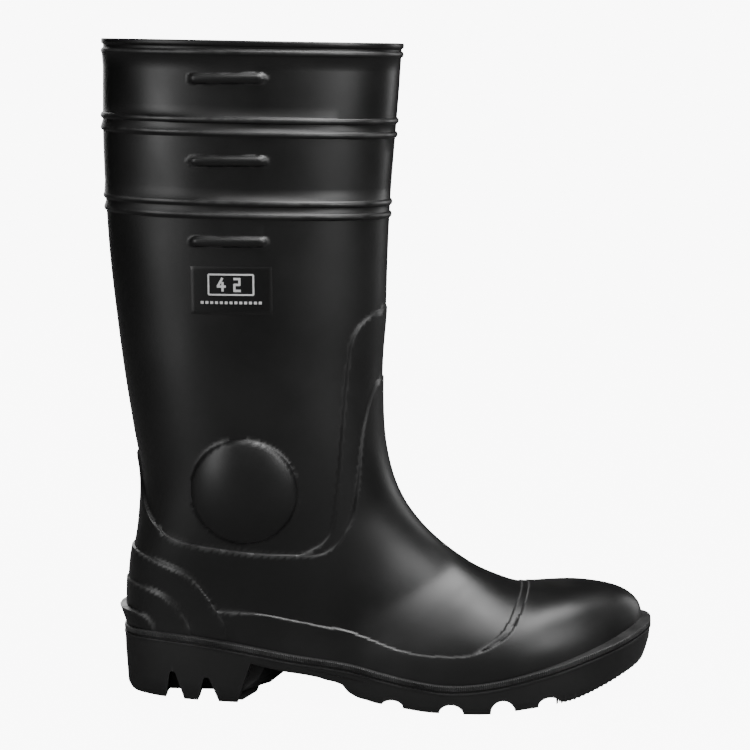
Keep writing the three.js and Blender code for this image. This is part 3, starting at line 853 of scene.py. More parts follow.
@dataclass(frozen=True)
class Plan:
    """The closed plan outline of the last where a side-view line crosses it, heel first, then the outer side."""

    line: SideLine
    count: int = 1200
    sections: int = 120

    def loop(self) -> Array:
        """Points of the outline, evenly spaced, counter-clockwise from above."""
        table = CORE.stations()
        first = float(np.interp(-self.line.height(np.array([-146.0]))[0], -table[:, 3][:14], np.arange(14)))
        turn = ((1 - np.cos(math.pi * np.arange(1, self.sections + 0.5) / self.sections)) / 2) ** 1.2
        u = first + (CORE.toe - first) * turn
        fine, shift = CORE.halves(u)
        over = fine[:, :, 2] - self.line.height(fine[:, :, 0])
        opened = (over[:, -1] < 0) & (over[:, 0] > 0)
        k = np.argmax(over < 0, axis=1)[opened]
        row = np.arange(len(k))
        before, after, gap = fine[opened][row, k - 1], fine[opened][row, k], over[opened]
        share = (gap[row, k - 1] / (gap[row, k - 1] - gap[row, k]))[:, None]
        ends = before + (after - before) * share
        middle = shift[opened]
        back = CORE.at(np.array([first]))[0]
        outer = np.stack([ends[:, 0], middle - ends[:, 1]], axis=1)
        inner = np.stack([ends[:, 0], middle + ends[:, 1]], axis=1)
        ring = np.vstack([[[back[2], back[5]]], outer, inner[::-1]])
        ring = self.rounded(ring, 3)
        return self.spread(ring)

    @staticmethod
    def rounded(ring: Array, times: int) -> Array:
        """The ring once its corners are averaged with their neighbours."""
        for _ in range(times):
            gap = np.linalg.norm(np.roll(ring, -1, axis=0) - ring, axis=1)
            even = np.concatenate([[0], np.cumsum(gap)])
            closed = np.vstack([ring, ring[:1]])
            t = np.linspace(0, even[-1], 500, endpoint=False)
            ring = np.stack([np.interp(t, even, closed[:, k]) for k in (0, 1)], axis=1)
            ring = (np.roll(ring, 1, axis=0) + 2 * ring + np.roll(ring, -1, axis=0)) / 4
        return ring

    def spread(self, ring: Array) -> Array:
        """The ring again, with evenly spaced points."""
        closed = np.vstack([ring[-2:], ring, ring[:3]])
        fine = spline(closed, 6)[12:-12]
        run = np.concatenate([[0], np.cumsum(np.linalg.norm(np.diff(fine, axis=0), axis=1))])
        t = np.linspace(0, run[-1], self.count, endpoint=False)
        return np.stack([np.interp(t, run, fine[:, k]) for k in (0, 1)], axis=1)

    @staticmethod
    def outward(ring: Array) -> Array:
        """The way out at each point of a ring, smoothed."""
        along = np.roll(ring, -4, axis=0) - np.roll(ring, 4, axis=0)
        along /= np.linalg.norm(along, axis=1)[:, None]
        return np.stack([along[:, 1], -along[:, 0]], axis=1)


def prism(data: MeshData, outline: Sequence[Point], low: float, high: float) -> None:
    """Adds a side-view outline drawn out from one Y to another.

    Args:
        data: the mesh that it is added to.
        outline: its corners as x and z, counter-clockwise with X to the right and Z up.
        low: the lowest Y.
        high: the highest Y.
    """
    flat = np.array(outline, float)
    ends = [data.add_points(np.stack([flat[:, 0], np.full(len(flat), y), flat[:, 1]], axis=1)) for y in (low, high)]
    data.add_solid(ends)


def fill_ring(data: MeshData, ring: Array, line: Optional[SideLine], upward: bool) -> None:
    """Fills a ring with rows across the foot.

    Args:
        data: the mesh.
        ring: the ring's point numbers.
        line: the side-view line that the rows lie on, or None for straight rows.
        upward: whether the faces look up.
    """
    points = np.vstack(data.points)
    half = len(ring) // 2
    shares = np.linspace(0, 1, 9)
    rows = [np.full(len(shares), ring[0])]
    for k in range(1, half):
        a, b = points[ring[k]], points[ring[-k]]
        between = a + (b - a) * shares[1:-1, None]
        if line is not None:
            between[:, 2] = line.height(between[:, 0])
        rows.append(np.concatenate([[ring[k]], data.add_points(between), [ring[-k]]]))
    rows.append(np.full(len(shares), ring[half]))
    data.add_grid(np.stack(rows), flip=upward)


def combine(body: bpy.types.Object, other: bpy.types.Object, way: str) -> None:
    """Joins another closed mesh to a body, or cuts it out, and deletes it.

    Args:
        body: the object whose mesh changes.
        other: the object that is used up.
        way: UNION, DIFFERENCE or INTERSECT.
    """
    modifier = body.modifiers.new("combine", "BOOLEAN")
    modifier.operation = way
    modifier.solver = "MANIFOLD"
    modifier.object = other
    done = bpy.data.meshes.new_from_object(body.evaluated_get(bpy.context.evaluated_depsgraph_get()))
    body.modifiers.clear()
    LOG.info("%s %s: %d faces", way, other.name, len(done.polygons))
    old = body.data
    body.data = done
    bpy.data.meshes.remove(old)
    bpy.data.objects.remove(other)


@dataclass
class Outsole:
    """The cleated sole: a welt that the leg stands in, a wall and a tread with a heel."""

    name: str = "cleated_sole"
    columns: int = 1752
    heel_ledge: float = 2.6
    toe_ledge: float = 5.4
    inside_skin: float = 1.3
    seat_drop: float = 1.0
    hatch: float = 0.42
    web: float = 21.0
    tread: Sequence[Point] = (
        (-69.7, 23.4), (-58, 20.8), (-51, 19.4), (-39, 18.0), (-31.4, 16.8), (-26.9, 15.5), (-22.3, 14.7),
        (-17.7, 13.2), (-14.5, 9.4), (-12.4, 7.9), (-8.6, 6.1), (-4, 5.1), (0.6, 3.9), (5.1, 3.2), (20, 1.3),
        (31, 0.2), (44, 0.1), (64, 0.2), (84, 2.6), (98, 4.3), (112, 6.2), (134, 12.9), (147, 17.7), (154, 22.9),
        (157.6, 33),
    )
    breast: Point = (-78.0, 0.0)
    arches: Sequence[tuple[float, float, float]] = (
        (10.8, 12.0, 3.9), (44.2, 13.4, 5.4), (73.2, 13.4, 7.3), (99.4, 12.8, 4.9),
    )
    teeth: tuple[float, float, float, float] = (103.0, 151.0, 2.6, 1.1)
    notches: Sequence[tuple[float, float, float, float, float]] = (
        (-120.4, -109.2, -117.4, -114.6, 16.2),
        (-101.2, -88.6, -97.3, -94.5, 14.2),
    )
    web_rise: float = 2.6
    heel_channel: tuple[float, float, float, float] = (-134, -84, 3.0, 9.5)
    fore_channel: tuple[float, float, float, float] = (-10, 92, 5.0, 2.4)
    inner_outline: Sequence[Point] = (
        (-82, -3), (-69.6, -3), (-69.6, 0), (-70.4, 6.6), (-61.8, 5.6), (-53, 12.8), (-48, 22), (-48, 26), (-82, 26),
    )
    inner_sections: Sequence[Point] = ((-32.2, -6.2), (-14.6, 0.0), (22.0, 0.0), (33.0, -2.5))
    past: float = 90.0
    sharp_above: float = 32.0

    def wall(self, z: Array, x: Array) -> Array:
        """How far out of the outline the wall is at each height."""
        plain = np.interp(z, [-6, 12, 27, 60], [-1.9, -0.9, 0, 0])
        toe = np.interp(z, [16, 26, 33, 42, 50], [-3.6, -0.3, 1.6, 2.1, 0.9])
        share = smoothstep(x, 108, 140)
        return plain * (1 - share) + toe * share

    def rings(self, ring: Array) -> list[tuple[Array, Array]]:
        """The height and reach of each ring of the wall, from the tread up to the welt."""
        x = ring[:, 0]
        welt = WELT.height(x)
        ground = np.interp(x, *zip(self.breast, *self.tread))
        ledge = self.heel_ledge + (self.toe_ledge - self.heel_ledge) * smoothstep(x, 75, 145)
        wave = np.arange(len(ring)) % 3
        ridged = np.where(wave == 0, -self.hatch, 0.0)
        fillet = 1.2 + 2.6 * smoothstep(-x, 138, 147)
        levels = [
            (ground - 7, -fillet * 1.5), (ground, -fillet), (ground + fillet * 0.3, -fillet * 0.3),
            (ground + fillet, 0),
        ]
        top = welt - 5.3
        for share in (0.3, 0.65):
            levels.append(((ground + fillet) * (1 - share) + top * share, 0))
        levels += [
            (top, 0), (welt - 5.0, 0.4), (welt - 4.2, 0.4), (welt - 3.95, -0.7), (welt - 3.1, -0.7),
            (welt - 2.9, ridged), (welt - 2.7, ridged + 0.3), (welt - 0.5, ridged + 0.3),
            (welt - 0.15, ridged * 0.6), (welt + 0.05, -0.55),
        ]
        out = [(z, ledge + self.wall(z, x) + extra) for z, extra in levels]
        out.append((welt + 0.05, np.full(len(ring), -self.inside_skin)))
        return out

    def block(self) -> bpy.types.Object:
        """The closed block of the sole, before its tread is cut."""
        loop = Plan(WELT, self.columns).loop()
        away = Plan.outward(loop)
        data = MeshData()
        rings = []
        for z, reach in self.rings(loop):
            flat = loop + away * reach[:, None]
            rings.append(data.add_points(np.column_stack([flat, z])))
        data.add_grid(np.stack(rings), flip=False, wrap=True)
        fill_ring(data, rings[0], None, upward=False)
        fill_ring(data, rings[-1], SEAT.raised(-self.seat_drop), upward=True)
        return data.build(self.name)

    def ground(self) -> list[Point]:
        """The side-view outline below the tread, with its arches and teeth."""
        heel = [(-300.0, 0.0), self.breast]
        path = [tuple(p) for p in spline(self.tread, 5)]
        first, last, pitch, depth = self.teeth

        def height(x: float) -> float:
            """The tread's height at x."""
            return float(np.interp(x, *zip(*path)))

        plain = [p for p in path if p[0] < first]
        out = [p for p in plain if not any(abs(p[0] - x) < w / 2 + 0.2 for x, w, _ in self.arches)]
        for x, width, rise in self.arches:
            half = width / 2
            for angle in (math.pi * (1 - k / 12) for k in range(13)):
                bulge = max(math.sin(angle), 0.0) ** 1.15
                out.append((x + half * math.cos(angle), height(x) + rise * (0.15 + 0.85 * bulge)))
            out += [(x - half - 0.05, height(x - half)), (x + half + 0.05, height(x + half))]
        x = first
        while x < last:
            out += [(x, height(x)), (x + 0.35 * pitch, height(x) + depth), (x + 0.65 * pitch, height(x) + depth)]
            x += pitch
        out += [p for p in path if p[0] >= last]
        return [*heel, *sorted(out), (300, 60), (300, -40), (-300, -40)]

    def inner_heel(self) -> bpy.types.Object:
        """The middle of the heel, which runs further forward than its outer lugs."""
        data = MeshData()
        sections = []
        for y, shift in self.inner_sections:
            points = [(x + (shift * (1 if z < 1 else 2.2) if x > -80 else 0), y, z) for x, z in self.inner_outline]
            sections.append(data.add_points(np.array(points, float)))
        data.add_solid(sections)
        return data.build("inner_heel")

    def cut(self, sole: bpy.types.Object, name: str, outline: Sequence[Point], low: float, high: float) -> None:
        """Cuts a side-view outline out of the sole, from one Y to another."""
        data = MeshData()
        prism(data, outline, low, high)
        combine(sole, data.build(name), "DIFFERENCE")

    def build(self) -> bpy.types.Object:
        """Makes the sole: the block, the inner heel, and the cuts of the tread."""
        sole = self.block()
        self.cut(sole, "below", self.ground()[::-1], -self.past, self.past)
        combine(sole, self.inner_heel(), "UNION")
        self.cut(sole, "flat", [(-200, -40), (-40, -40), (-40, 0), (-200, 0)], -self.past, self.past)
        for left, right, top_left, top_right, depth in self.notches:
            flare = (right - top_right) * 2 / depth
            shape = [
                (left - 0.6, -2), (right + flare, -2), (top_right + 0.3, depth - 0.8), (top_right - 0.5, depth),
                (top_left + 0.5, depth), (top_left - 0.3, depth - 0.8),
            ]
            for low, high in ((-80, -self.web), (self.web, 80)):
                self.cut(sole, "notch", shape, low, high)
        webs = [(left - 0.6, right + 1.5, self.web_rise, self.web + 2) for left, right, *_ in self.notches]
        for low, high, z, y in (*webs, self.heel_channel, self.fore_channel):
            self.cut(sole, "channel", [(low, -2), (high, -2), (high, z), (low, z)], -y, y)
        sole.data.polygons.foreach_set("use_smooth", [True] * len(sole.data.polygons))
        sole.data.set_sharp_from_angle(angle=math.radians(self.sharp_above))
        LOG.info("%s: %d faces", self.name, len(sole.data.polygons))
        return sole


# ---- Inside --------------------------------------------------------------------------------------------


@dataclass
class Lining:
    """The knitted sock, a closed wall with a rolled hem just under the rim."""

    name: str = "knitted_lining"
    depth: float = 3.25
    foot_depth: float = 5.4
    wall: float = 1.35
    drop: float = 4.2
    floor: float = 2.4
    columns: int = 80

    @staticmethod
    def spacing(u: Array) -> Array:
        """The spacing wanted at each section."""
        return np.interp(u, [0, 0.4, 2, 12, 26], [1.0, 2.5, 6.0, 5.0, 4.0])

    def rows(self) -> Array:
        """The sections of its rows."""
        top = SKIN.section_at_front(SKIN.rim_front - self.drop)
        rows = SKIN.rows(self.spacing, SEAT)
        return np.concatenate([[top], rows[rows > top + 0.02]])

    def shell(self, data: MeshData, rows: Array, inset: float, outward: bool) -> dict[Side, Array]:
        """Adds one face of the sock, with its floor.

        Args:
            data: the mesh.
            rows: the sections of the rows.
            inset: how far inside the moulding's outside it lies.
            outward: whether its faces look out of the last.

        Returns:
            Each half's point numbers.
        """
        sheet = Sheet.over(CORE, rows, self.columns, SEAT)
        extra = (self.foot_depth - self.depth) * smoothstep(rows, 17.2, 19.5)
        lift = {side: np.repeat(-(inset + extra)[:, None], self.columns, axis=1) for side in Side}
        floor = SEAT.raised(self.floor + (0 if outward else self.wall))
        numbers = sheet.welded(data, sheet.lifted(lift, floor))
        Sheet.cover(data, numbers, outward, toe=True)
        return numbers

    def build(self) -> bpy.types.Object:
        """Makes the sock."""
        rows = self.rows()
        data = MeshData()
        outer = self.shell(data, rows, self.depth, True)
        inner = self.shell(data, rows, self.depth + self.wall, False)
        way = Sheet.over(CORE, np.linspace(0, 0.2, 5), self.columns, SEAT).out
        base = Sheet.over(CORE, rows[:1].repeat(3), self.columns, SEAT)
        angles = np.array([0.8, 0.5, 0.2]) * math.pi
        inset = self.depth + self.wall * (0.5 + 0.5 * np.cos(math.pi - angles))
        rise = self.wall * 0.75 * np.sin(angles)
        points = {}
        for side in Side:
            points[side] = base.halves[side] - way[side][2] * inset[:, None, None]
            points[side][:, :, 2] += rise[:, None]
        roll = Sheet.welded(data, points)
        for side in Side:
            data.add_grid(np.vstack([inner[side][:1], roll[side], outer[side][:1]]), flip=side is Side.INNER)
        LOG.info("%s: %d faces", self.name, len(data.faces))
        return data.build(self.name)


@dataclass
class Footbed:
    """The loose footbed: a foam sole with a cloth face, that lifts out by its heel."""

    inset: float = 8.4
    foam_low: float = 4.1
    foam_high: float = 8.6
    cover_low: float = 8.7
    cover_high: float = 9.6
    columns: int = 150

    def slab(self, name: str, low: float, high: float, edge: float) -> bpy.types.Object:
        """Makes one layer with rounded edges, which follows the seat.

        Args:
            name: its name.
            low: its underside over the seat.
            high: its top over the seat.
            edge: the radius of its edges.

        Returns:
            The layer.
        """
        loop = Plan(SEAT.raised(self.foam_low), self.columns).loop()
        away = Plan.outward(loop)
        data = MeshData()
        profile = [
            (low, -edge), (low + edge * 0.3, -edge * 0.3), (low + edge, 0),
            (high - edge, 0), (high - edge * 0.3, -edge * 0.3), (high, -edge),
        ]
        rings = []
        for rise, reach in profile:
            flat = loop + away * (reach - self.inset)
            rings.append(data.add_points(np.column_stack([flat, SEAT.height(flat[:, 0]) + rise])))
        data.add_grid(np.stack(rings), wrap=True)
        fill_ring(data, rings[0], SEAT.raised(low), upward=False)
        fill_ring(data, rings[-1], SEAT.raised(high), upward=True)
        return data.build(name, sharp_above=50)

    def build(self) -> tuple[bpy.types.Object, bpy.types.Object]:
        """Makes the foam and its cloth face."""
        foam = self.slab("footbed_cushion", self.foam_low, self.foam_high, 1.3)
        cover = self.slab("footbed_cloth", self.cover_low, self.cover_high, 0.35)
        return foam, cover


@dataclass
class Label:
    """The printed film on the outer side of the leg: a plain frame, a size number and a row of dashes."""

    middle: Point = (-78.4, 236.8)
    length: float = 45.5
    height: float = 26.6
    film: float = 0.45
    ink: float = 0.12

    def surface(self, x: Array, z: Array) -> Array:
        """How far out the outer side of the leg is at side-view points, as Y."""
        halves, _ = SKIN.halves(np.linspace(3.2, 5.6, 61))
        flat = halves[:, 8:100].reshape(-1, 3)
        y = np.empty(len(x))
        for i, (px, pz) in enumerate(zip(x, z)):
            away = (flat[:, 0] - px) ** 2 + (flat[:, 2] - pz) ** 2
            near = np.argpartition(away, 4)[:4]
            weight = 1 / (away[near] + 1e-4)
            y[i] = -(flat[near, 1] * weight).sum() / weight.sum()
        return y

    def wrapped(self, points: Array, depth: Array) -> Array:
        """Side-view points laid on the leg, each as far out as its depth."""
        table = np.linspace(self.middle[0] - 30, self.middle[0] + 30, 31)
        levels = np.linspace(self.middle[1] - 16, self.middle[1] + 16, 9)
        grid = np.array([self.surface(table, np.full(31, z)) for z in levels])
        smooth = np.array([np.polyval(np.polyfit(table, row, 4), table) for row in grid])
        column = np.array([np.interp(points[:, 0], table, row) for row in smooth])
        k = np.clip((points[:, 1] - levels[0]) / (levels[1] - levels[0]), 0, 7.999)
        i = k.astype(int)
        y = column[i, np.arange(len(i))] * (1 - (k - i)) + column[i + 1, np.arange(len(i))] * (k - i)
        return np.column_stack([points[:, 0], y - depth, points[:, 1]])

    def build_film(self) -> bpy.types.Object:
        """Makes the film, with a soft edge."""
        data = MeshData()
        x, z = np.meshgrid(np.linspace(-1, 1, 41), np.linspace(-1, 1, 25))
        px = self.middle[0] + x * self.length / 2
        pz = self.middle[1] + z * self.height / 2
        flat = np.column_stack([px.ravel(), pz.ravel()])
        rim = (np.abs(x) > 0.999) | (np.abs(z) > 0.999)
        top = np.where(rim, 0.12, self.film).ravel()
        faces = [data.add_points(self.wrapped(flat, d).reshape(*x.shape, 3)) for d in (top, np.full(len(flat), -0.6))]
        data.add_grid(faces[0])
        data.add_grid(faces[1], flip=True)
        rims = [np.concatenate([g[0], g[1:, -1], g[-1, -2::-1], g[-2:0:-1, 0]]) for g in faces[::-1]]
        data.add_grid(np.stack(rims), wrap=True)
        return data.build("leg_label", sharp_above=50)

    def stroke(self, data: MeshData, a: Point, b: Point, width: float) -> None:
        """Adds one printed line between two places on the film.

        Args:
            data: the mesh.
            a: the first place, from the film's middle.
            b: the second place.
            width: the line's width.
        """
        a, b = np.array(a, float), np.array(b, float)
        length = np.linalg.norm(b - a)
        along = (b - a) / length
        cross = np.array([-along[1], along[0]]) * width / 2
        steps = max(2, int(length / 1.5))
        rows = []
        for depth in (self.film - 0.1, self.film + self.ink):
            for sign in (-1, 1):
                line = a + (b - a) * np.linspace(0, 1, steps + 1)[:, None] + cross * sign + np.array(self.middle)
                rows.append(self.wrapped(line, np.full(len(line), depth)))
        numbers = [data.add_points(row) for row in rows]
        tube = np.stack([numbers[0], numbers[1], numbers[3], numbers[2]], axis=1)
        data.add_grid(tube, wrap=True)
        data.add_loop(tube[0][::-1])
        data.add_loop(tube[-1])

    def build_print(self) -> bpy.types.Object:
        """Makes the frame, the size number and the row of dashes."""
        data = MeshData()
        w, h, rise = 12.5, 5.6, 3.4
        corners = ((-w, rise - h), (w, rise - h), (w, rise + h), (-w, rise + h))
        for a, b in zip(corners, corners[1:] + corners[:1]):
            self.stroke(data, a, b, 0.9)
        four = [((-1.2, 4.4), (-4.4, -1.2)), ((-4.9, -1.2), (1.0, -1.2)), ((-1.2, 1.8), (-1.2, -4.4))]
        two = [
            ((0.2, 3.8), (4.4, 3.8)), ((4.0, 4.4), (4.0, -0.4)), ((4.4, 0), (0.3, 0)), ((0.7, 0.4), (0.7, -4.4)),
            ((0.2, -3.9), (4.8, -3.9)),
        ]
        for shift, strokes in ((-3.6, four), (1.4, two)):
            for stroke in strokes:
                a, b = ((x * 0.85 + shift, z * 0.85 + rise) for x, z in stroke)
                self.stroke(data, a, b, 1.25)
        for k in range(13):
            self.stroke(data, (-17.0 + 2.7 * k, -6.6), (-15.4 + 2.7 * k, -6.6), 1.5)
        return data.build("leg_label_print", smooth=False)


# ---- Finishes ------------------------------------------------------------------------------------------

Socket = bpy.types.NodeSocket


class Graph:
    """A node tree, with short ways to add nodes and to join them."""

    def __init__(self, tree: bpy.types.NodeTree) -> None:
        """Keeps the tree."""
        self.tree = tree

    def node(self, kind: str, inputs: Optional[dict] = None, **settings: object) -> bpy.types.Node:
        """Adds a node.

        Args:
            kind: its type, without the ShaderNode prefix.
            inputs: a value or another node's socket for each input that is named or numbered.
            settings: its own settings.

        Returns:
            The node.
        """
        node = self.tree.nodes.new("ShaderNode" + kind)
        for name, value in settings.items():
            setattr(node, name, value)
        return self.feed(node, inputs or {})

    def feed(self, node: bpy.types.Node, inputs: dict) -> bpy.types.Node:
        """Gives a node's named or numbered inputs a value or another node's socket each."""
        for name, value in inputs.items():
            if isinstance(value, Socket):
                self.tree.links.new(value, node.inputs[name])
            else:
                node.inputs[name].default_value = value
        return node

    def use(self, tree: bpy.types.NodeTree, inputs: dict) -> Socket:
        """The result of a group."""
        return self.node("Group", inputs, node_tree=tree).outputs[0]

    def bump(self, strength: float, depth: float, height: Socket) -> Socket:
        """The way out of a surface with a height laid over it."""
        return self.node("Bump", {"Strength": strength, "Distance": depth, "Height": height}).outputs[0]

    def math(self, way: str, *values: object) -> Socket:
        """A Math node's result."""
        return self.node("Math", dict(enumerate(values)), operation=way).outputs[0]

    def ramp(self, value: Socket, low: float, high: float, to_low: float = 0.0, to_high: float = 1.0) -> Socket:
        """A value spread from one range to another, smoothly, and held at its ends."""
        inputs = {"Value": value, "From Min": low, "From Max": high, "To Min": to_low, "To Max": to_high}
        return self.node("MapRange", inputs, interpolation_type="SMOOTHSTEP").outputs[0]

    def mix(self, share: object, a: object, b: object) -> Socket:
        """A colour between two others."""
        return self.node("Mix", {"Factor": share, 6: a, 7: b}, data_type="RGBA").outputs[2]

    def noise(
        self, scale: float, detail: float = 3.0, rough: float = 0.55, stretch: Sequence[float] = (1, 1, 1)
    ) -> Socket:
        """Noise over the object's own coordinates, with features of 1 / scale metres."""
        place = self.node("TexCoord").outputs["Object"]
        if tuple(stretch) != (1, 1, 1):
            place = self.node("Mapping", {"Vector": place, "Scale": tuple(stretch)}).outputs[0]
        inputs = {"Vector": place, "Scale": scale, "Detail": detail, "Roughness": rough}
        return self.node("TexNoise", inputs).outputs[0]


def group(name: str, inputs: dict[str, float], outputs: Sequence[str], fill: Callable) -> bpy.types.NodeTree:
    """Makes a node group.

    Args:
        name: its name.
        inputs: its inputs, with their default values.
        outputs: its outputs, all of them values.
        fill: a function of the group's graph and its input node that returns the sockets to put out.

    Returns:
        The group.
    """
    tree = bpy.data.node_groups.new(name, "ShaderNodeTree")
    for key, value in inputs.items():
        tree.interface.new_socket(key, in_out="INPUT", socket_type="NodeSocketFloat").default_value = value
    for key in outputs:
        tree.interface.new_socket(key, in_out="OUTPUT", socket_type="NodeSocketFloat")
    start = tree.nodes.new("NodeGroupInput")
    end = tree.nodes.new("NodeGroupOutput")
    for socket, result in zip(end.inputs, fill(Graph(tree), start.outputs)):
        tree.links.new(result, socket)
    return tree


class Effects:
    """The effects that the finishes share."""

    def __init__(self) -> None:
        """Builds each group once."""
        self.grain = group(
            "moulded_grain", {"Pores": 2600.0, "Ripple": 420.0, "Pore share": 0.6}, ["Height"], self.fill_grain
        )
        # Lightens edges: partly wear, partly painted highlight along edges that face the lights.
        self.wear_and_highlight = group("edge_wear_and_highlight", {"Reach": 0.5, "Turned": 0.0, "Patches": 60.0}, ["Mask"], self.fill_wear_and_highlight)
        self.dust = group("settled_dust", {"Amount": 0.3, "Patches": 45.0}, ["Mask"], self.fill_dust)
        self.patches = group("uneven_tone", {"Scale": 22.0, "Low": 0.0, "High": 1.0}, ["Value"], self.fill_patches)

    @staticmethod
    def place(graph: Graph, scale: Socket, kind: str, **more: object) -> bpy.types.Node:
        """A texture over the object's own coordinates, with a linked scale."""
        inputs = {"Vector": graph.node("TexCoord").outputs["Object"], "Scale": scale, **more}
        return graph.node(kind, inputs)

    @classmethod
    def fill_grain(cls, graph: Graph, given: Sequence[Socket]) -> list[Socket]:
        """Fine pores over a soft ripple."""
        pores = cls.place(graph, given["Pores"], "TexVoronoi").outputs["Distance"]
        ripple = cls.place(graph, given["Ripple"], "TexNoise", Detail=2.0).outputs[0]
        rest = graph.math("SUBTRACT", 1.0, given["Pore share"])
        fine = graph.math("MULTIPLY", pores, given["Pore share"])
        return [graph.math("ADD", fine, graph.math("MULTIPLY", ripple, rest))]

    @classmethod
    def fill_wear_and_highlight(cls, graph: Graph, given: Sequence[Socket]) -> list[Socket]:
        """Lighter edges, partly wear and partly painted highlight: where the mesh tells of a highlit edge or the
        surface turns outwards, broken up by patches.
        """
        turned = graph.ramp(graph.node("NewGeometry").outputs["Pointiness"], 0.51, 0.6)
        told = graph.node("Attribute", attribute_name="edge_highlight").outputs["Fac"]
        edge = graph.math("MAXIMUM", graph.math("MULTIPLY", turned, given["Turned"]), told)
        patches = cls.place(graph, given["Patches"], "TexNoise", Detail=4.0).outputs[0]
        return [graph.math("MULTIPLY", graph.math("MULTIPLY", edge, graph.ramp(patches, 0.35, 0.65)), given["Reach"])]

    @classmethod
    def fill_dust(cls, graph: Graph, given: Sequence[Socket]) -> list[Socket]:
        """Dust in the hollows and on what faces up."""
        geometry = graph.node("NewGeometry")
        hollow = graph.ramp(geometry.outputs["Pointiness"], 0.5, 0.46)
        upward = graph.node("SeparateXYZ", {0: geometry.outputs["Normal"]}).outputs[2]
        both = graph.math("MAXIMUM", hollow, graph.ramp(upward, 0.2, 1.0))
        patches = cls.place(graph, given["Patches"], "TexNoise", Detail=5.0).outputs[0]
        return [graph.math("MULTIPLY", graph.math("MULTIPLY", both, graph.ramp(patches, 0.3, 0.75)), given["Amount"])]

    @classmethod
    def fill_patches(cls, graph: Graph, given: Sequence[Socket]) -> list[Socket]:
        """A slow change between two values."""
        noise = cls.place(graph, given["Scale"], "TexNoise", Detail=4.0).outputs[0]
        spread = graph.ramp(noise, 0.3, 0.7)
        width = graph.math("SUBTRACT", given["High"], given["Low"])
        return [graph.math("ADD", given["Low"], graph.math("MULTIPLY", spread, width))]


def new_material(name: str) -> tuple[bpy.types.Material, Graph, bpy.types.Node]:
    """A new material, its graph and its shader."""
    material = bpy.data.materials.new(name)
    material.use_nodes = True
    return material, Graph(material.node_tree), material.node_tree.nodes["Principled BSDF"]


def grey(level: float, warm: float = 0.0) -> tuple[float, float, float, float]:
    """A grey, warmer or cooler by a little."""
    return (level * (1 + warm), level, level * (1 - warm), 1.0)


@dataclass(frozen=True)
class Moulded:
    """Moulded PVC: near black, satin, with pores, ripple, edges lightened as wear and as painted highlight, and a
    little dust.
    """

    name: str
    colour: tuple = grey(0.004)
    # A lighter colour that the edges take, partly as wear and partly as painted highlight.
    edge_light: tuple = grey(0.07)
    dusty: tuple = grey(0.06, 0.05)
    rough_low: float = 0.34
    rough_high: float = 0.44
    specular: float = 0.5
    pores: float = 2600.0
    ripple: float = 420.0
    pore_share: float = 0.6
    bump: float = 0.25
    depth: float = 0.00006
    wear_and_highlight: float = 0.9
    turned: float = 0.0
    dust: float = 0.05

    def material(self, effects: Effects) -> bpy.types.Material:
        """Makes the material."""
        material, graph, shader = new_material(self.name)
        # The edge mask paints highlight along the edges, broken up like wear.
        wear_and_highlight = graph.use(effects.wear_and_highlight, {"Reach": self.wear_and_highlight, "Turned": self.turned})
        dust = graph.use(effects.dust, {"Amount": self.dust})
        tone = graph.use(effects.patches, {"Low": self.rough_low, "High": self.rough_high})
        grain = graph.use(effects.grain, {"Pores": self.pores, "Ripple": self.ripple, "Pore share": self.pore_share})
        graph.feed(shader, {
            "Specular IOR Level": self.specular,
            "Base Color": graph.mix(dust, graph.mix(wear_and_highlight, self.colour, self.edge_light), self.dusty),
            "Roughness": graph.math("ADD", tone, graph.math("MULTIPLY", dust, 0.35)),
            "Normal": graph.bump(self.bump, self.depth, grain),
        })
        return material


@dataclass(frozen=True)
class Knit:
    """A knitted lining: ribs of small stitches, matt and a little fuzzy."""

    name: str
    colour: tuple = grey(0.09)
    shade: tuple = grey(0.035)
    wale: float = 900.0
    course: float = 1100.0
    bump: float = 0.6
    depth: float = 0.0004
    sheen: float = 0.3
    sheen_rough: float = 0.6

    def material(self, effects: Effects) -> bpy.types.Material:
        """Makes the material."""
        material, graph, shader = new_material(self.name)
        part = graph.node("SeparateXYZ", {0: graph.node("TexCoord").outputs["Object"]})
        across = graph.math("MULTIPLY", graph.math("ADD", part.outputs[0], part.outputs[1]), self.wale * 2)
        down = graph.math("MULTIPLY", part.outputs[2], self.course * 2)
        loops = graph.math("MULTIPLY", graph.math("SINE", across), graph.math("SINE", down))
        height = graph.math("ADD", graph.math("ABSOLUTE", loops), graph.math("MULTIPLY", graph.noise(3000, 2), 0.4))
        tone = graph.use(effects.patches, {"Scale": 35.0})
        patch = graph.math("ADD", 0.6, graph.math("MULTIPLY", tone, 0.4))
        share = graph.math("MULTIPLY", graph.ramp(height, 0.1, 0.9), patch)
        graph.feed(shader, {
            "Sheen Weight": self.sheen,
            "Sheen Roughness": self.sheen_rough,
            "Base Color": graph.mix(share, self.shade, self.colour),
            "Roughness": graph.ramp(height, 0, 1, 0.95, 0.75),
            "Normal": graph.bump(self.bump, self.depth, height),
        })
        return material


@dataclass(frozen=True)
class Plain:
    """A worn plain stuff: two tones that change over the surface, a grain and its roughness."""

    name: str
    colour: tuple
    other: tuple
    rough: Point = (0.4, 0.6)
    metal: float = 0.0
    scale: float = 900.0
    stretch: tuple = (1, 1, 1)
    bump: float = 0.3
    depth: float = 0.0001

    def material(self, effects: Effects) -> bpy.types.Material:
        """Makes the material."""
        material, graph, shader = new_material(self.name)
        grain = graph.noise(self.scale, 3, 0.6, self.stretch)
        tone = graph.use(effects.patches, {"Scale": 60.0})
        share = graph.math("ADD", graph.math("MULTIPLY", tone, 0.6), graph.math("MULTIPLY", grain, 0.4))
        graph.feed(shader, {
            "Metallic": self.metal,
            "Base Color": graph.mix(share, self.colour, self.other),
            "Roughness": graph.ramp(share, 0.2, 0.8, *self.rough),
            "Normal": graph.bump(self.bump, self.depth, grain),
        })
        return material


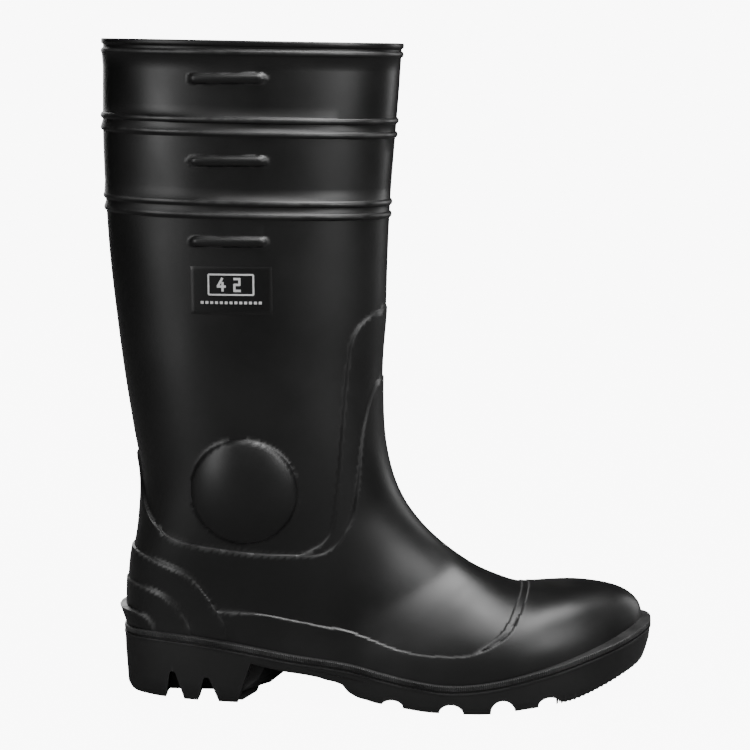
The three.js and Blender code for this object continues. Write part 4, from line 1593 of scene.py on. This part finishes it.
class Finish(Enum):
    """The finishes of the boot's pieces."""

    LEG = Moulded("satin_black_pvc")
    # The sole's outward-turned edges are lightened, partly as wear and partly as painted highlight.
    SOLE = Moulded(
        "matt_black_sole", colour=grey(0.005), rough_low=0.46, rough_high=0.56, pores=1900.0, ripple=260.0,
        wear_and_highlight=0.6, turned=1.0, dust=0.08,
    )
    # The film's edges take a faint painted highlight and wear.
    FILM = Moulded(
        "printed_film", edge_light=grey(0.02), rough_low=0.3, rough_high=0.36, bump=0.08, wear_and_highlight=0.3, turned=1.0,
    )
    KNIT = Knit("grey_knit")
    PRINT = Plain("pale_print", grey(0.62), grey(0.5), (0.45, 0.6), scale=1500.0)
    STEEL = Plain("zinc_steel", grey(0.46, -0.02), grey(0.36), (0.28, 0.42), 1.0, 500.0, (1, 6, 1), 0.15)
    STRIP = Plain("pale_edge_rubber", grey(0.62, 0.03), grey(0.5, 0.05), (0.5, 0.65))
    BOARD = Plain(
        "tan_fibre_board", (0.30, 0.19, 0.10, 1), (0.21, 0.13, 0.065, 1), (0.75, 0.9), scale=1800.0, stretch=(1, 3, 1)
    )
    CORE = Plain("grey_core_foam", grey(0.18), grey(0.12), (0.8, 0.95), scale=1400.0, bump=0.6, depth=0.0004)
    FOAM = Plain("grey_cushion_foam", grey(0.22), grey(0.15), (0.8, 0.95), scale=1600.0, bump=0.6, depth=0.0004)
    CLOTH = Plain("dark_footbed_cloth", grey(0.035), grey(0.018), (0.8, 0.95), scale=2400.0, bump=0.7, depth=0.0003)


class Wardrobe:
    """The finishes once they are made."""

    def __init__(self) -> None:
        """Makes every material."""
        effects = Effects()
        self.made = {finish: finish.value.material(effects) for finish in Finish}

    def dress(self, obj: bpy.types.Object, finish: Finish) -> None:
        """Gives an object one finish all over."""
        obj.data.materials.clear()
        obj.data.materials.append(self.made[finish])

    def dress_slots(self, obj: bpy.types.Object, finish: Finish) -> None:
        """Gives a CAD object's slots a finish, and leaves its mesh alone."""
        for slot in obj.material_slots:
            slot.link = "OBJECT"
            slot.material = self.made[finish]


# ---- Stage ---------------------------------------------------------------------------------------------


@dataclass(frozen=True)
class Softbox:
    """A rectangular soft light that looks at the boot."""

    name: str
    place: tuple[float, float, float]
    aim: tuple[float, float, float]
    size: Point
    power: float


@dataclass
class Studio:
    """The camera, the pale floor and the soft lights."""

    azimuth: float = 4.0
    elevation: float = 8.7
    distance: float = 1.235
    lens: float = 103.7
    target: tuple[float, float, float] = (-0.0021, 0.0, 0.184)
    floor_reach: float = 12.0
    surround: float = 0.014
    backdrop: float = 9.0
    boxes: Sequence[Softbox] = (
        Softbox("left_box", (-1.3, -1.25, 0.6), (-0.05, 0, 0.2), (0.5, 1.4), 12.0),
        Softbox("right_box", (0.78, -0.85, 0.66), (-0.05, 0, 0.25), (0.5, 0.75), 8.0),
        Softbox("top_box", (0.25, -0.85, 1.35), (0.05, 0, 0.08), (0.9, 0.6), 11.0),
        Softbox("crown_box", (0.32, -0.2, 1.25), (0.1, 0, 0.08), (0.7, 0.45), 17.0),
        Softbox("side_box", (1.4, 0.9, 0.6), (-0.05, 0, 0.2), (0.5, 1.0), 6.0),
        Softbox("back_box", (-0.75, 1.4, 0.75), (-0.03, 0, 0.18), (0.9, 1.2), 10.0),
    )

    def camera(self) -> bpy.types.Object:
        """Makes the camera and looks at the boot's outer side."""
        cam = bpy.data.cameras.new("camera")
        cam.lens = self.lens
        cam.sensor_width = 36
        obj = add_object("camera", cam)
        a, e = math.radians(self.azimuth), math.radians(self.elevation)
        target = Vector(self.target) + Vector(ORIGIN * MM)
        way = Vector((math.sin(a) * math.cos(e), -math.cos(a) * math.cos(e), math.sin(e)))
        obj.location = target + self.distance * way
        obj.rotation_euler = (target - obj.location).to_track_quat("-Z", "Y").to_euler()
        bpy.context.scene.camera = obj
        return obj

    def floor(self) -> bpy.types.Object:
        """Makes the pale floor that the boot stands on."""
        mesh = bpy.data.meshes.new("floor")
        r = self.floor_reach
        mesh.from_pydata([(-r, -r, 0), (r, -r, 0), (r, r, 0), (-r, r, 0)], [], [(0, 1, 2, 3)])
        obj = add_object("floor", mesh)
        material, graph, shader = new_material("pale_floor")
        graph.feed(shader, {
            "Specular IOR Level": 0.1,
            "Base Color": graph.mix(graph.noise(6.0, 4), grey(0.13), grey(0.15)),
            "Roughness": graph.ramp(graph.noise(30.0, 3), 0.2, 0.8, 0.7, 0.9),
        })
        glow = graph.node("Emission", {"Color": grey(1.0), "Strength": self.backdrop})
        lit = graph.node("AddShader", {0: shader.outputs[0], 1: glow.outputs[0]})
        share = graph.node("LightPath").outputs["Is Camera Ray"]
        both = graph.node("MixShader", {0: share, 1: shader.outputs[0], 2: lit.outputs[0]})
        graph.feed(material.node_tree.nodes["Material Output"], {"Surface": both.outputs[0]})
        mesh.materials.append(material)
        return obj

    def light(self) -> None:
        """Makes the surround and the soft lights."""
        world = bpy.data.worlds.new("surround")
        bpy.context.scene.world = world
        world.use_nodes = True
        graph = Graph(world.node_tree)
        end = world.node_tree.nodes["World Output"]
        seen = graph.node("Background", {"Color": grey(1.0), "Strength": self.backdrop})
        felt = world.node_tree.nodes["Background"]
        felt.inputs["Color"].default_value = grey(self.surround)
        share = graph.node("LightPath").outputs["Is Camera Ray"]
        both = graph.node("MixShader", {0: share, 1: felt.outputs[0], 2: seen.outputs[0]})
        world.node_tree.links.new(both.outputs[0], end.inputs["Surface"])
        for box in self.boxes:
            light = bpy.data.lights.new(box.name, "AREA")
            light.shape = "RECTANGLE"
            light.size, light.size_y = box.size
            light.energy = box.power
            obj = add_object(box.name, light)
            obj.location = box.place
            obj.rotation_euler = (Vector(box.aim) - obj.location).to_track_quat("-Z", "Y").to_euler()


KEPT = {
    "steel_toe_cap": Finish.STEEL,
    "toe_cap_edge_strip": Finish.STRIP,
    "steel_midsole": Finish.STEEL,
    "insole_board": Finish.BOARD,
    "heel_core": Finish.CORE,
}


def place(piece: bpy.types.Object, body: str, node: Optional[str], slot: str) -> None:
    """Puts a piece on its body, in place of a node."""
    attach(piece, body)
    if node:
        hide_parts(node)
    LOG.info("%s rides on %s and stands for %s", piece.name, body, node)


def main() -> None:
    """Builds the boot, piece by piece."""
    logging.basicConfig(level=logging.INFO, format="%(name)s: %(message)s")
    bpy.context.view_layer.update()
    studio = Studio()
    studio.camera()
    wardrobe = Wardrobe()
    for piece in Upper().build():
        wardrobe.dress(piece, Finish.LEG)
        place(piece, "boot", "upper_shell", "leg_black")
    sole = Outsole().build()
    wardrobe.dress(sole, Finish.SOLE)
    place(sole, "boot", "outsole", "sole_black")
    lining = Lining().build()
    wardrobe.dress(lining, Finish.KNIT)
    place(lining, "boot", "lining_sock", "knit_grey")
    foam, cover = Footbed().build()
    wardrobe.dress(foam, Finish.FOAM)
    wardrobe.dress(cover, Finish.CLOTH)
    place(foam, "footbed", "footbed_foam", "foam_grey")
    place(cover, "footbed", "footbed_cover", "fabric_dark")
    label = Label()
    film, ink = label.build_film(), label.build_print()
    wardrobe.dress(film, Finish.FILM)
    wardrobe.dress(ink, Finish.PRINT)
    place(film, "boot", "label_patch", "label_black")
    place(ink, "boot", None, "label_black")
    for node, finish in KEPT.items():
        wardrobe.dress_slots(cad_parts[node], finish)
    studio.floor()
    studio.light()


if __name__ == "__main__":
    main()
